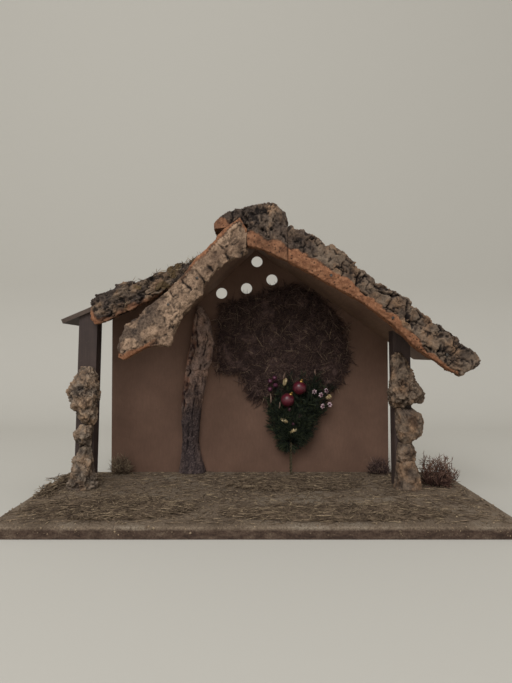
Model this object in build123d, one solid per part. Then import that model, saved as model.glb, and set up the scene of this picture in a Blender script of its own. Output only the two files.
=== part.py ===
from build123d import *
import math
import os

# A small wooden stable: thin boards on two posts, clad in cork bark and moss, on a base board.
# Millimetres. The origin is the middle of the base board's underside, +X right, +Y back, +Z up.

# Base board
base_width = 400.0
base_depth = 176.0
base_thick = 9.0
base_corner_radius = 4.0
base_edge_radius = 2.5

# Back panel, nailed to the rear edge of the base board
panel_thick = 4.0
panel_left_inset = 45.0
panel_right_inset = 58.0
panel_foot_clear = 1.0

# Light holes in the panel, measured down from the ridge and across from it
light_radius = 6.0
light_drop = 12.0
light_spread = 54.0
light_fall = 35.0
light_shares = [(0.02, 0.0), (0.32, 0.56), (-0.19, 0.83), (-0.69, 0.98)]

# Roof boards: the right and inner boards meet at the ridge, the left one leans on the inner one.
# The eaves are set in from the ends of the base board.
roof_thick = 4.0
roof_front = 5.0
ridge_height = 247.0
right_eave_inset = 29.0
right_eave_height = 129.0
inner_pitch = 42.8
inner_run = 91.0
left_eave_inset = 17.0
left_eave_height = 164.0
left_joint_run = 21.4
left_set_back = 25.0

# Posts, set in from the ends of the base board, each leaning out a little at the foot
post_depth = 15.0
post_set_back = 28.0
left_post_width = 17.5
left_post_inset = 40.5
left_post_lean = 4.0
right_post_width = 16.5
right_post_inset = 61.7
right_post_lean = 2.0

# Section of the bark that wraps over the front edge of a roof board
bark_toe_share = 0.85
bark_belly_share = 0.25
bark_brow_share = 0.7
bark_brow_rise_share = 0.88
bark_crest_share = 0.3
bark_saddle_share = 0.68
bark_saddle_rise_share = 0.86
bark_tail_share = 0.45

# Plates of the bark, in a front row over the brow and crest and a rear row over the saddle and tail, with a
# groove between each two: shares of a plate's length and of the relief. The lead before them is flat.
plate_rise_share = 0.2
plate_fall_share = 0.88
plate_slant_share = 0.7
plate_lead_share = -1.0
front_groove_shares = [-0.6, -0.6]
rear_groove_shares = [-0.55, -0.1]

# Bark over the front edge of the right roof, from the ridge to past the eave: shares of its run, lip, crown,
# proud and reach. The ridge bark has its upper end, which hangs over the ridge with shares of its own, and
# beyond the eave its underside is level along the nose.
right_barge_past = 27.0
right_barge_nose = 20.0
right_barge_lip = 16.0
right_barge_crown = 32.0
right_barge_proud = 13.0
right_barge_reach = 58.0
right_barge_relief = 6.0
right_barge_front_end_shares = [0.17, 0.31, 0.46, 0.54, 0.7, 0.79, 0.91, 1.0]
right_barge_front_shares = [
    (0.3, 0.5),
    (0.6, 0.1),
    (0.0, 0.6),
    (0.4, 0.3),
    (-0.1, 0.5),
    (0.6, 0.2),
    (0.2, 0.5),
]
right_barge_rear_end_shares = [0.17, 0.24, 0.37, 0.5, 0.62, 0.73, 0.86, 1.0]
right_barge_rear_shares = [
    (-0.1, 0.5),
    (0.7, 0.1),
    (0.1, 0.7),
    (0.8, -0.1),
    (0.2, 0.5),
    (0.7, 0.1),
    (0.1, 0.4),
]
right_barge_shares = [
    (0.0, 1.07, 0.058, 0.75, 0.05),
    (0.153, 0.62, 0.61, 0.95, 0.86),
    (0.332, 0.35, 0.875, 1.0, 0.97),
    (0.47, 0.1, 0.8, 0.9, 1.0),
    (0.604, 0.19, 0.76, 1.0, 0.92),
    (0.713, 0.62, 0.77, 1.08, 0.98),
    (0.841, 0.56, 0.67, 1.0, 0.9),
    (0.9, 0.47, 0.61, 0.95, 0.86),
    (0.95, -0.2, 0.32, 0.85, 0.8),
    (1.0, -0.95, 0.08, 0.5, 0.6),
]

# Bark strip on the inner board, running past its foot, with the same shares
left_barge_start = 8.0
left_barge_past = 31.0
left_barge_lip = 32.0
left_barge_crown = 20.0
left_barge_proud = 12.0
left_barge_reach = 6.0
left_barge_relief = 2.0
left_barge_front_end_shares = [0.1, 0.24, 0.36, 0.62, 0.84, 1.0]
left_barge_front_shares = [(0.3, 0.3), (-0.1, 0.1), (0.5, 0.4), (0.1, 0.2), (0.4, 0.3)]
left_barge_rear_end_shares = [0.1, 0.36, 0.62, 1.0]
left_barge_rear_shares = [(0.2, 0.2), (0.4, 0.4), (0.2, 0.2)]
left_barge_shares = [
    (0.0, 0.44, 0.08, 0.7, 0.8),
    (0.06, 0.35, 0.98, 0.9, 0.9),
    (0.2, 0.16, 1.05, 1.0, 1.0),
    (0.315, 0.24, 0.9, 1.05, 1.0),
    (0.385, 0.47, 1.0, 1.0, 1.0),
    (0.5, 0.55, 0.64, 0.92, 1.0),
    (0.605, 1.0, 0.66, 1.0, 1.0),
    (0.755, 0.56, 0.74, 1.05, 1.0),
    (0.85, 0.41, 0.72, 0.95, 0.95),
    (0.95, 0.31, 0.74, 0.85, 0.85),
    (1.0, 0.06, 0.48, 0.6, 0.7),
]

# Bark on the left roof, stopping short of the eave, with the same shares
left_roof_bark_start = 40.0
left_roof_bark_short = 28.0
left_roof_bark_lip = 18.0
left_roof_bark_crown = 12.0
left_roof_bark_proud = 10.0
left_roof_bark_reach = 50.0
left_roof_bark_relief = 2.5
left_roof_bark_front_end_shares = [0.0, 0.22, 0.39, 0.63, 0.82, 1.0]
left_roof_bark_front_shares = [(0.1, 0.3), (0.5, 0.1), (0.0, 0.6), (0.55, 0.15), (0.2, 0.5)]
left_roof_bark_rear_end_shares = [0.0, 0.14, 0.31, 0.52, 0.72, 1.0]
left_roof_bark_rear_shares = [(0.6, 0.2), (0.0, 0.6), (0.65, 0.2), (-0.1, 0.5), (0.6, 0.1)]
left_roof_bark_shares = [
    (0.0, 0.45, 0.3, 0.7, 0.75),
    (0.21, 0.6, 0.28, 0.9, 0.92),
    (0.45, 0.72, 0.34, 1.0, 1.0),
    (0.575, 0.83, 0.46, 0.95, 0.94),
    (0.83, 1.0, 0.78, 1.0, 1.0),
    (0.96, 0.84, 0.75, 0.85, 0.86),
    (1.0, 0.45, 0.45, 0.55, 0.7),
]

# Bark on the ridge, behind the strip and proud of it at the right: shares of its run, droop, rise and proud
ridge_bark_over = 7.7
ridge_bark_over_shares = [1.01, 0.014, 0.7, 0.05]
ridge_bark_lap = 0.5
ridge_bark_start = 39.0
ridge_bark_run = 67.0
ridge_bark_droop = 4.5
ridge_bark_rise = 22.0
ridge_bark_heel = 48.0
ridge_bark_proud = 16.0
ridge_bark_clear = 1.1
ridge_bark_nose_share = 0.1
ridge_bark_shoulder_share = 0.88
ridge_bark_crest_share = 0.35
ridge_bark_tail_share = 0.6
ridge_bark_shares = [
    (0.0, 1.0, 0.38, -0.15),
    (0.1, 0.85, 0.69, -0.05),
    (0.27, 0.55, 0.9, 0.0),
    (0.43, 0.1, 0.91, 0.0),
    (0.56, 0.0, 0.81, 0.81),
    (0.75, 0.31, 0.92, 1.0),
    (0.83, 0.47, 0.93, 1.0),
    (0.92, 0.64, 0.74, 0.85),
    (0.97, 0.73, 0.6, 0.7),
    (1.0, 0.8, 0.41, 0.5),
]

# Section of the bark that stands against a post or the panel
slab_flank_share = 0.58
slab_inset_share = 0.06
slab_crest_share = 0.92
slab_crest_left_share = 0.3
slab_crest_right_share = 0.68
stack_gap = 0.3

# Bark pieces stacked up the left post, with room under the roof: shares of height, left, right and depth
left_bark_width = 33.0
left_bark_depth = 16.0
left_bark_head_room = 50.5
left_bark_height_shares = [0.345, 0.18, 0.475]
left_bark_names = ["left_post_bark_lower", "left_post_bark_middle", "left_post_bark_upper"]
left_bark_shares = [
    [(0.0, -0.53, 0.32, 0.9), (0.28, -0.47, 0.26, 1.0), (0.63, -0.35, 0.2, 0.8), (1.0, -0.23, 0.11, 0.6)],
    [(0.0, -0.2, 0.08, 0.5), (0.23, -0.33, 0.12, 0.8), (0.64, -0.33, 0.18, 0.9), (1.0, -0.2, 0.2, 0.6)],
    [
        (0.0, -0.11, 0.2, 0.5),
        (0.11, -0.24, 0.26, 0.8),
        (0.33, -0.44, 0.33, 1.0),
        (0.57, -0.58, 0.39, 1.0),
        (0.78, -0.38, 0.32, 0.85),
        (1.0, -0.2, 0.17, 0.45),
    ],
]

# Bark pieces stacked up the right post, with the same shares
right_bark_width = 36.0
right_bark_depth = 16.0
right_bark_head_room = 14.6
right_bark_height_shares = [0.2, 0.135, 0.26, 0.405]
right_bark_names = [
    "right_post_bark_foot",
    "right_post_bark_lower",
    "right_post_bark_middle",
    "right_post_bark_upper",
]
right_bark_shares = [
    [(0.0, -0.26, 0.49, 1.0), (0.56, -0.2, 0.41, 0.9), (1.0, -0.16, 0.3, 0.7)],
    [(0.0, -0.17, 0.3, 0.6), (0.49, -0.16, 0.37, 0.8), (1.0, -0.12, 0.25, 0.6)],
    [
        (0.0, -0.01, 0.21, 0.5),
        (0.125, -0.13, 0.37, 0.8),
        (0.31, -0.16, 0.49, 1.0),
        (0.64, -0.19, 0.55, 1.0),
        (0.83, -0.2, 0.45, 0.9),
        (1.0, -0.17, 0.25, 0.6),
    ],
    [
        (0.0, -0.23, 0.07, 0.5),
        (0.11, -0.41, 0.53, 0.9),
        (0.22, -0.4, 0.6, 1.0),
        (0.42, -0.37, 0.41, 0.95),
        (0.65, -0.33, 0.24, 0.85),
        (0.88, -0.29, 0.13, 0.7),
        (1.0, -0.2, -0.06, 0.4),
    ],
]

# Bark pillar stacked up the front of the panel as far as the inner board, with the same shares
pillar_place = 63.5
pillar_width = 36.0
pillar_depth = 14.0
pillar_head_room = 2.2
pillar_height_shares = [0.615, 0.385]
pillar_names = ["pillar_bark_lower", "pillar_bark_upper"]
pillar_shares = [
    [
        (0.0, -0.54, 0.29, 1.0),
        (0.15, -0.46, 0.15, 0.85),
        (0.3, -0.42, 0.07, 0.75),
        (0.47, -0.43, 0.1, 0.8),
        (0.67, -0.46, 0.16, 0.85),
        (0.8, -0.44, 0.24, 0.8),
        (1.0, -0.33, 0.35, 0.7),
    ],
    [
        (0.0, -0.35, 0.35, 0.8),
        (0.13, -0.32, 0.44, 0.95),
        (0.41, -0.21, 0.56, 1.0),
        (0.81, -0.1, 0.38, 0.85),
        (0.93, -0.06, 0.24, 0.7),
        (1.0, 0.0, 0.14, 0.5),
    ],
]

# Moss mat on the panel, beside the pillar: shares of its width and of the height up to the roof
wall_moss_beside = 1.3
wall_moss_right = 107.0
wall_moss_foot = 67.0
wall_moss_head_room = 2.0
wall_moss_thick = 7.0
wall_moss_crown_share = 0.88
wall_moss_shares = [
    (0.0, 0.29),
    (0.0, 0.825),
    (0.1, 0.795),
    (0.19, 0.745),
    (0.31, 0.74),
    (0.46, 0.86),
    (0.6, 0.97),
    (0.725, 0.995),
    (0.85, 0.98),
    (0.97, 0.905),
    (1.0, 0.505),
    (0.92, 0.145),
    (0.6, 0.0),
    (0.24, 0.06),
    (0.17, 0.26),
]

# Moss on the base board: each patch has its place and size, its outline follows one table
floor_moss_thick = 3.0
floor_moss_crown_share = 0.82
floor_moss_outline_shares = [
    (-1.0, -0.15),
    (-0.72, -0.72),
    (-0.15, -1.0),
    (0.45, -0.86),
    (0.92, -0.5),
    (1.0, 0.2),
    (0.66, 0.74),
    (0.1, 1.0),
    (-0.55, 0.82),
    (-0.9, 0.4),
]
floor_moss_names = ["floor_moss_left", "floor_moss_front", "floor_moss_rear"]
floor_moss_width = 132.0
floor_moss_depth = 60.0
floor_moss_place_shares = [(-0.59, -0.52), (0.32, -0.66), (0.18, 0.34)]
floor_moss_size_shares = [(1.0, 1.0), (1.33, 0.67), (0.97, 0.8)]

# Tufts on the base board: sections are shares of height and spread
tuft_width = 34.0
tuft_depth = 28.0
tuft_height = 35.0
tuft_section_shares = [(0.0, 0.72), (0.3, 1.0), (0.72, 0.84), (1.0, 0.4)]
lichen_beside_share = 0.52
lichen_depth_share = 0.35
clump_inset = 13.0
clump_names = ["left_moss_clump", "right_moss_clump"]
clump_size_shares = [(0.65, 0.69, 0.69), (0.76, 0.69, 0.6)]

# Sprig in front of the moss mat: foliage in shares of height, left, right and depth
sprig_place = 46.0
sprig_foot = 27.0
sprig_width = 78.0
sprig_height = 84.0
sprig_depth = 13.0
sprig_shares = [
    (0.0, -0.28, 0.04, 0.5),
    (0.28, -0.41, 0.26, 0.8),
    (0.62, -0.5, 0.49, 1.0),
    (0.83, -0.44, 0.5, 0.9),
    (1.0, -0.08, 0.3, 0.5),
]
sprig_stem_radius = 1.6
sprig_stem_sink = 14.0
sprig_stem_share = -0.12
sprig_stem_depth_share = 0.3
sprig_seat_clear = 0.2

# Ornaments on the sprig: a radius, how deep it sits, and places in shares of the foliage
bauble_radius = 7.0
bauble_sink_share = 0.35
bauble_shares = [(-0.01, 0.76), (-0.17, 0.61)]
berry_radius = 2.4
berry_sink_share = 0.4
berry_shares = [
    (-0.4, 0.84),
    (-0.34, 0.88),
    (-0.33, 0.79),
    (-0.4, 0.74),
    (-0.14, 0.49),
    (-0.09, 0.31),
    (0.0, 0.41),
]
bud_radius = 3.6
bud_sink_share = 0.4
bud_shares = [(-0.2, 0.83), (-0.21, 0.35), (-0.09, 0.22), (0.38, 0.64)]
bead_radius = 2.8
bead_sink_share = 0.4
bead_shares = [(0.19, 0.71), (0.28, 0.67), (0.35, 0.72), (0.3, 0.53), (0.4, 0.55)]

# Nails: the brads hold thin boards and bark, the post nails come up through the base board
nail_clear = 0.05
brad_radius = 0.6
brad_length = 14.0
brad_head_radius = 1.2
brad_head_thick = 0.6
bark_brad_length = 24.0
post_nail_radius = 1.0
post_nail_length = 26.0
post_nail_head_radius = 2.2
post_nail_head_thick = 0.8
right_brad_shares = [0.25, 0.6, 0.9]
left_brad_shares = [0.3, 0.6, 0.92]
inner_brad_shares = [0.3, 0.6, 0.88]
foot_brad_shares = [-0.9, -0.45, 0.0, 0.45, 0.9]
post_nail_shares = [0.3, 0.7]
post_brad_share = 0.2
left_barge_brad_shares = [0.385, 0.605]
right_barge_brad_shares = [0.332, 0.604, 0.841]
bark_brad_height_share = 0.5

# Cuts pass this far beyond what they cut
overrun = 1.0

# Lines that several pieces share
base_end = base_width / 2
base_rear = base_depth / 2
panel_left = base_end - panel_left_inset
panel_right = base_end - panel_right_inset
panel_front = base_rear
panel_rear = panel_front + panel_thick
roof_edge = -roof_front
left_roof_edge = roof_edge + left_set_back
left_post_place = base_end - left_post_inset
right_post_place = base_end - right_post_inset
post_front = roof_edge + post_set_back
post_rear = post_front + post_depth

# Slopes of the roof boards, and the upright thickness that each has at its slope
right_eave = base_end - right_eave_inset
left_eave = base_end - left_eave_inset
inner_tilt = math.radians(inner_pitch)
inner_slope = math.tan(inner_tilt)
inner_rise = roof_thick / math.cos(inner_tilt)
right_slope = (ridge_height - right_eave_height) / right_eave
right_tilt = math.atan(right_slope)
right_rise = roof_thick / math.cos(right_tilt)
left_joint_height = ridge_height + inner_rise - inner_slope * left_joint_run
left_slope = (left_joint_height - left_eave_height) / (left_eave - left_joint_run)
left_tilt = math.atan(left_slope)
left_rise = roof_thick / math.cos(left_tilt)

# Runs of the bark along its boards
right_barge_run = right_eave + right_barge_past
right_barge_level = right_barge_run - right_barge_nose
left_barge_run = inner_run + left_barge_past - left_barge_start
left_roof_bark_run = left_eave - left_roof_bark_short - left_roof_bark_start
ridge_bark_end = ridge_bark_run - ridge_bark_start
right_barge_rows = [(-ridge_bark_over / right_barge_run, *ridge_bark_over_shares), *right_barge_shares]


def right_under(x):
    return ridge_height - right_slope * x


def right_top(x):
    return right_under(x) + right_rise


def inner_under(x):
    return ridge_height + inner_slope * x


def inner_top(x):
    return inner_under(x) + inner_rise


def barge_under(x):
    """The line that the right roof's bark hangs from: the board's underside, level beyond the ridge."""
    return right_under(max(x, 0))


def barge_seat(x):
    """The line that the right roof's bark lies on: the board's top up to the nose, or just over the ridge."""
    return right_top(min(x, right_barge_level)) if x > 0 else max(right_top(0), inner_top(0)) + stack_gap


def left_under(x):
    return left_eave_height + left_slope * (x + left_eave)


def left_top(x):
    return left_under(x) + left_rise


def row_at(rows, along):
    """The shares at a place along a table, between the rows on either side of it."""
    upper = next(i for i in range(1, len(rows)) if rows[i][0] >= along)
    low, high = rows[upper - 1], rows[upper]
    step = (along - low[0]) / (high[0] - low[0])
    return [a + (b - a) * step for a, b in zip(low, high)]


def rows_between(rows, first, last):
    """A stretch of a table, with a row of its own at each end."""
    inside = [row for row in rows if first < row[0] < last]
    return [row_at(rows, first), *inside, row_at(rows, last)]


def outline(points):
    return make_face(Polyline(*points, close=True))


def board(points, front, rear):
    """A flat piece with an outline in X and Z, from front to rear."""
    plane = Plane(origin=(0, front, 0), x_dir=(1, 0, 0), z_dir=(0, -1, 0))
    return extrude(plane * outline(points), amount=front - rear)


def section_across(x, points):
    """A face in the plane of one X, with points in Y and Z."""
    return Plane(origin=(x, 0, 0), x_dir=(0, 1, 0), z_dir=(1, 0, 0)) * outline(points)


def section_level(z, points):
    """A face in the plane of one height, with points in X and Y."""
    return Plane.XY.offset(z) * outline(points)


def along_y(x, y, z, outward):
    """A plane at a point that faces front, or rear where outward is 1."""
    return Plane(origin=(x, y, z), x_dir=(1, 0, 0), z_dir=(0, outward, 0))


def nail(place, radius, length, head_radius, head_thick):
    """A nail driven into the plane, its head flush, and the hole that takes it."""
    down = (Align.CENTER, Align.CENTER, Align.MAX)
    up = (Align.CENTER, Align.CENTER, Align.MIN)
    solid = Cylinder(radius, length, align=down) + Cylinder(head_radius, head_thick, align=down)
    shank_hole = Cylinder(radius + nail_clear, length + nail_clear, align=down)
    head_hole = Cylinder(head_radius + nail_clear, head_thick, align=down)
    mouth = Cylinder(head_radius + nail_clear, overrun, align=up)
    return place * solid, place * (shank_hole + head_hole + mouth)


def brad(place, length=brad_length):
    return nail(place, brad_radius, length, brad_head_radius, brad_head_thick)


def plate_rows(ends, heights, grooves):
    """How one row of plates rises and falls along a bark, in shares of the relief."""
    flat = [0.0] * len(grooves)
    rows = [(plate_lead_share, *flat), (ends[0], *flat)]
    for first, last, lanes in zip(ends, ends[1:], heights):
        length = last - first
        slanted = [lane * plate_slant_share for lane in lanes]
        rows.append((first + length * plate_rise_share, *slanted))
        rows.append((first + length * plate_fall_share, *lanes))
        rows.append((last, *(flat if last == ends[-1] else grooves)))
    return rows


def roof_bark(start, run, lip, crown, proud, reach, shares, relief, front, rear, edge, under, top, side):
    """Bark that lies on a roof board in plates and hangs over its front edge."""
    sections = []
    stations = {row[0] for row in shares + front + rear if shares[0][0] <= row[0] <= shares[-1][0]}
    for along in sorted(stations):
        _, lip_share, crown_share, proud_share, reach_share = row_at(shares, along)
        _, brow_share, crest_share = row_at(front, along)
        _, saddle_share, tail_share = row_at(rear, along)
        x = side * (start + run * along)
        drop = under(x) - lip * lip_share
        rise = crown * crown_share
        brow = top(x) + rise * bark_brow_rise_share
        ahead = proud * proud_share
        behind = reach * reach_share
        saddle = top(x) + rise * bark_saddle_rise_share
        points = [
            (edge, drop),
            (edge - ahead * bark_toe_share, drop),
            (edge - ahead, drop + (brow - drop) * bark_belly_share),
            (edge - ahead * bark_brow_share, brow + relief * brow_share),
            (edge + behind * bark_crest_share, top(x) + rise + relief * crest_share),
            (edge + behind * bark_saddle_share, saddle + relief * saddle_share),
            (edge + behind, top(x) + rise * bark_tail_share + relief * tail_share),
            (edge + behind, top(x)),
            (edge, top(x)),
        ]
        sections.append(section_across(x, points))
    return loft(sections, ruled=True)


def standing_bark(place, face, foot, height, width, depth, shares):
    """Bark that stands with its flat back against a face, built up in level sections."""
    sections = []
    for up, left_share, right_share, depth_share in shares:
        left = place + width * left_share
        right = place + width * right_share
        span = right - left
        ahead = depth * depth_share
        points = [
            (left, face),
            (right, face),
            (right - span * slab_inset_share, face - ahead * slab_flank_share),
            (left + span * slab_crest_right_share, face - ahead),
            (left + span * slab_crest_left_share, face - ahead * slab_crest_share),
            (left + span * slab_inset_share, face - ahead * slab_flank_share),
        ]
        sections.append(section_level(foot + height * up, points))
    return loft(sections, ruled=True)


def bark_stack(place, face, height, width, depth, names, height_shares, shares):
    """Standing bark pieces one on another, from the base board up."""
    stack = {}
    foot = base_thick
    for name, height_share, table in zip(names, height_shares, shares):
        tall = height * height_share
        stack[name] = standing_bark(place, face, foot, tall - stack_gap, width, depth, table)
        foot += tall
    return stack


def room_under(under, x, head_room):
    """The height from the base board up to a named room below a roof board."""
    return under(x) - head_room - base_thick


def tapered(points_at, crown_share, centre, start, amount, plane_at):
    """A mound from a full outline to a smaller one, a given amount along the plane's normal."""
    shrunk = [
        (centre[0] + (a - centre[0]) * crown_share, centre[1] + (b - centre[1]) * crown_share)
        for a, b in points_at
    ]
    broad = plane_at(start) * outline(points_at)
    narrow = plane_at(start + amount) * outline(shrunk)
    return loft([broad, narrow], ruled=True)


def make_base():
    solid = extrude(Plane.XY * Rectangle(base_width, base_depth), amount=base_thick)
    solid = fillet(solid.edges().filter_by(Axis.Z), base_corner_radius)
    front_edges = solid.edges().group_by(Axis.Z)[-1].sort_by(Axis.Y)[:-1]
    return fillet(front_edges, base_edge_radius)


def make_panel():
    points = [
        (-panel_left, panel_foot_clear),
        (panel_right, panel_foot_clear),
        (panel_right, right_under(panel_right)),
        (0, ridge_height),
        (-left_joint_run, left_joint_height),
        (-panel_left, left_under(-panel_left)),
    ]
    panel = board(points, panel_front, panel_rear)
    for across, down in light_shares:
        place = along_y(light_spread * across, panel_rear, ridge_height - light_drop - light_fall * down, 1)
        depth = panel_thick + overrun * 2
        panel -= place * Pos(0, 0, overrun) * Cylinder(
            light_radius, depth, align=(Align.CENTER, Align.CENTER, Align.MAX)
        )
    return panel


def make_right_roof():
    eave = (right_eave, right_eave_height)
    tip = (eave[0] + roof_thick * math.sin(right_tilt), eave[1] + roof_thick * math.cos(right_tilt))
    points = [(0, ridge_height), eave, tip, (0, right_top(0))]
    return board(points, roof_edge, panel_rear)


def make_inner_roof():
    foot = (-inner_run, inner_under(-inner_run))
    tip = (foot[0] - roof_thick * math.sin(inner_tilt), foot[1] + roof_thick * math.cos(inner_tilt))
    points = [(0, ridge_height), (0, inner_top(0)), tip, foot]
    return board(points, roof_edge, panel_front)


def make_left_roof():
    eave = (-left_eave, left_eave_height)
    tip = (eave[0] - roof_thick * math.sin(left_tilt), eave[1] + roof_thick * math.cos(left_tilt))
    high_joint = (left_top(0) - inner_top(0)) / (inner_slope - left_slope)
    points = [eave, (-left_joint_run, left_joint_height), (high_joint, left_top(high_joint)), tip]
    return board(points, left_roof_edge, panel_rear)


def make_post(place, width, lean, under, side):
    """A post from the base board to a roof board, its top cut to the slope."""
    points = [
        (side * (place + lean) - width / 2, base_thick),
        (side * (place + lean) + width / 2, base_thick),
        (side * place + width / 2, under(side * place + width / 2)),
        (side * place - width / 2, under(side * place - width / 2)),
    ]
    return board(points, post_front, post_rear)


right_barge_front = plate_rows(right_barge_front_end_shares, right_barge_front_shares, front_groove_shares)
right_barge_rear = plate_rows(right_barge_rear_end_shares, right_barge_rear_shares, rear_groove_shares)
left_barge_front = plate_rows(left_barge_front_end_shares, left_barge_front_shares, front_groove_shares)
left_barge_rear = plate_rows(left_barge_rear_end_shares, left_barge_rear_shares, rear_groove_shares)
left_roof_bark_front = plate_rows(
    left_roof_bark_front_end_shares, left_roof_bark_front_shares, front_groove_shares
)
left_roof_bark_rear = plate_rows(
    left_roof_bark_rear_end_shares, left_roof_bark_rear_shares, rear_groove_shares
)


def barge_crest(x):
    """The top of the bark over the front edge of the right roof at one X."""
    along = x / right_barge_run
    _, _, crown_share, _, _ = row_at(right_barge_shares, along)
    _, *front = row_at(right_barge_front, along)
    _, *rear = row_at(right_barge_rear, along)
    return barge_seat(x) + right_barge_crown * crown_share + right_barge_relief * max(front + rear)


def right_bark(first, last):
    """A stretch of the bark over the front edge of the right roof."""
    rows = rows_between(right_barge_rows, first, last)
    return roof_bark(
        0, right_barge_run, right_barge_lip, right_barge_crown, right_barge_proud, right_barge_reach, rows,
        right_barge_relief, right_barge_front, right_barge_rear, roof_edge, barge_under, barge_seat, 1,
    )


def make_right_barge():
    return right_bark((ridge_bark_end + stack_gap) / right_barge_run, right_barge_rows[-1][0])


def make_ridge_bark():
    """Bark across the ridge, behind the strip at the left and hanging over the right roof's front edge."""
    rows = right_barge_shares + right_barge_front + right_barge_rear
    stations = [right_barge_run * row[0] for row in rows]
    hanging = [x for x in stations if 0 <= x < ridge_bark_end] + [ridge_bark_end]
    seat = max(barge_crest(x) for x in hanging) - ridge_bark_lap
    strip_back = roof_edge + left_barge_reach + ridge_bark_clear
    sections = []
    for along, droop_share, rise_share, proud_share in ridge_bark_shares:
        x = ridge_bark_run * along - ridge_bark_start
        low = seat - ridge_bark_droop * droop_share
        rise = ridge_bark_rise * rise_share
        front = strip_back - ridge_bark_proud * proud_share
        depth = ridge_bark_heel - front
        points = [
            (front, low),
            (front + depth * ridge_bark_nose_share, low + rise * ridge_bark_shoulder_share),
            (front + depth * ridge_bark_crest_share, low + rise),
            (ridge_bark_heel, low + rise * ridge_bark_tail_share),
            (ridge_bark_heel, low),
        ]
        sections.append(section_across(x, points))
    hanging_end = right_bark(right_barge_rows[0][0], ridge_bark_end / right_barge_run)
    return loft(sections, ruled=True) + hanging_end


def make_wall_moss():
    pillar_edge = max(row[2] for table in pillar_shares for row in table)
    left = pillar_width * pillar_edge - pillar_place + wall_moss_beside
    foot = base_thick + wall_moss_foot
    points = []
    for across, up in wall_moss_shares:
        x = left + (wall_moss_right - left) * across
        room = min(right_under(x), inner_under(x)) - wall_moss_head_room - foot
        points.append((x, foot + room * up))
    heights = [z for _, z in points]
    centre = ((left + wall_moss_right) / 2, (min(heights) + max(heights)) / 2)

    def plane_at(offset):
        return Plane(origin=(0, -offset, 0), x_dir=(1, 0, 0), z_dir=(0, -1, 0))

    return tapered(points, wall_moss_crown_share, centre, -panel_front, wall_moss_thick, plane_at)


def make_floor_moss(place_share, size_share):
    place = (base_width / 2 * place_share[0], base_depth / 2 * place_share[1])
    half_width = floor_moss_width / 2 * size_share[0]
    half_depth = floor_moss_depth / 2 * size_share[1]
    points = [(place[0] + half_width * a, place[1] + half_depth * b) for a, b in floor_moss_outline_shares]
    return tapered(points, floor_moss_crown_share, place, base_thick, floor_moss_thick, Plane.XY.offset)


def make_tuft(x, y, width, depth, height):
    """A tuft on the base board: the same outline as the moss, swelling and closing upwards."""
    sections = []
    for up, spread in tuft_section_shares:
        points = [
            (x + width / 2 * spread * a, y + depth / 2 * spread * b) for a, b in floor_moss_outline_shares
        ]
        sections.append(section_level(base_thick + height * up, points))
    return loft(sections, ruled=True)


def make_tufts():
    """The lichen beside the right post, and a clump of moss at each foot of the panel."""
    lichen_x = right_post_place + right_bark_width * lichen_beside_share + tuft_width / 2
    lichen_y = base_depth / 2 * lichen_depth_share
    tufts = {"lichen_tuft": make_tuft(lichen_x, lichen_y, tuft_width, tuft_depth, tuft_height)}
    clump_places = [clump_inset - panel_left, panel_right - clump_inset]
    for name, x, size_share in zip(clump_names, clump_places, clump_size_shares):
        depth = tuft_depth * size_share[1]
        y = panel_front - stack_gap - depth / 2
        tufts[name] = make_tuft(x, y, tuft_width * size_share[0], depth, tuft_height * size_share[2])
    return tufts


sprig_back = panel_front - wall_moss_thick - stack_gap


def sprig_point(across, up):
    """A place on the front of the foliage, in shares of its width and height."""
    _, _, _, depth_share = row_at(sprig_shares, up)
    x = sprig_place + sprig_width * across
    z = base_thick + sprig_foot + sprig_height * up
    return x, sprig_back - sprig_depth * depth_share * slab_flank_share, z


def ornaments(radius, sink_share, shares):
    """Round ornaments sunk a little into the front of the foliage."""
    balls = []
    for across, up in shares:
        x, y, z = sprig_point(across, up)
        balls.append(Pos(x, y - radius * (1 - sink_share), z) * Sphere(radius))
    return balls


def make_sprig():
    """The foliage with a socket for each ornament and for the stem, and those pieces."""
    foliage = standing_bark(
        sprig_place, sprig_back, base_thick + sprig_foot, sprig_height,
        sprig_width, sprig_depth, sprig_shares,
    )
    stem_x = sprig_place + sprig_width * sprig_stem_share
    stem_y = sprig_back - sprig_depth * sprig_stem_depth_share
    up = (Align.CENTER, Align.CENTER, Align.MIN)
    stem_length = sprig_foot + sprig_stem_sink
    stem_seat = Pos(stem_x, stem_y, base_thick)
    stem = stem_seat * Cylinder(sprig_stem_radius, stem_length, align=up)
    socket_radius = sprig_stem_radius + sprig_seat_clear
    foliage -= stem_seat * Cylinder(socket_radius, stem_length + sprig_seat_clear, align=up)
    pieces = {"sprig_stem": stem}
    for name, radius, sink_share, shares in [
        ("sprig_baubles", bauble_radius, bauble_sink_share, bauble_shares),
        ("sprig_berries", berry_radius, berry_sink_share, berry_shares),
        ("sprig_buds", bud_radius, bud_sink_share, bud_shares),
        ("sprig_beads", bead_radius, bead_sink_share, bead_shares),
    ]:
        pieces[name] = Compound(children=ornaments(radius, sink_share, shares))
        for socket in ornaments(radius + sprig_seat_clear, sink_share, shares):
            foliage -= socket
    pieces["sprig_foliage"] = foliage
    return pieces


def slope_plane(x, y, z, tilt, side):
    """A plane on a roof board's top, its normal square to the board."""
    return Plane(origin=(x, y, z), x_dir=(0, 1, 0), z_dir=(side * math.sin(tilt), 0, math.cos(tilt)))


def bark_edge_place(shares, along, start, run, proud, edge, under, rise, side):
    """Where a brad goes through bark into the front edge of its board."""
    _, _, _, proud_share, _ = row_at(shares, along)
    x = side * (start + run * along)
    return along_y(x, edge - proud * proud_share, under(x) + rise * bark_brad_height_share, -1)


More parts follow.
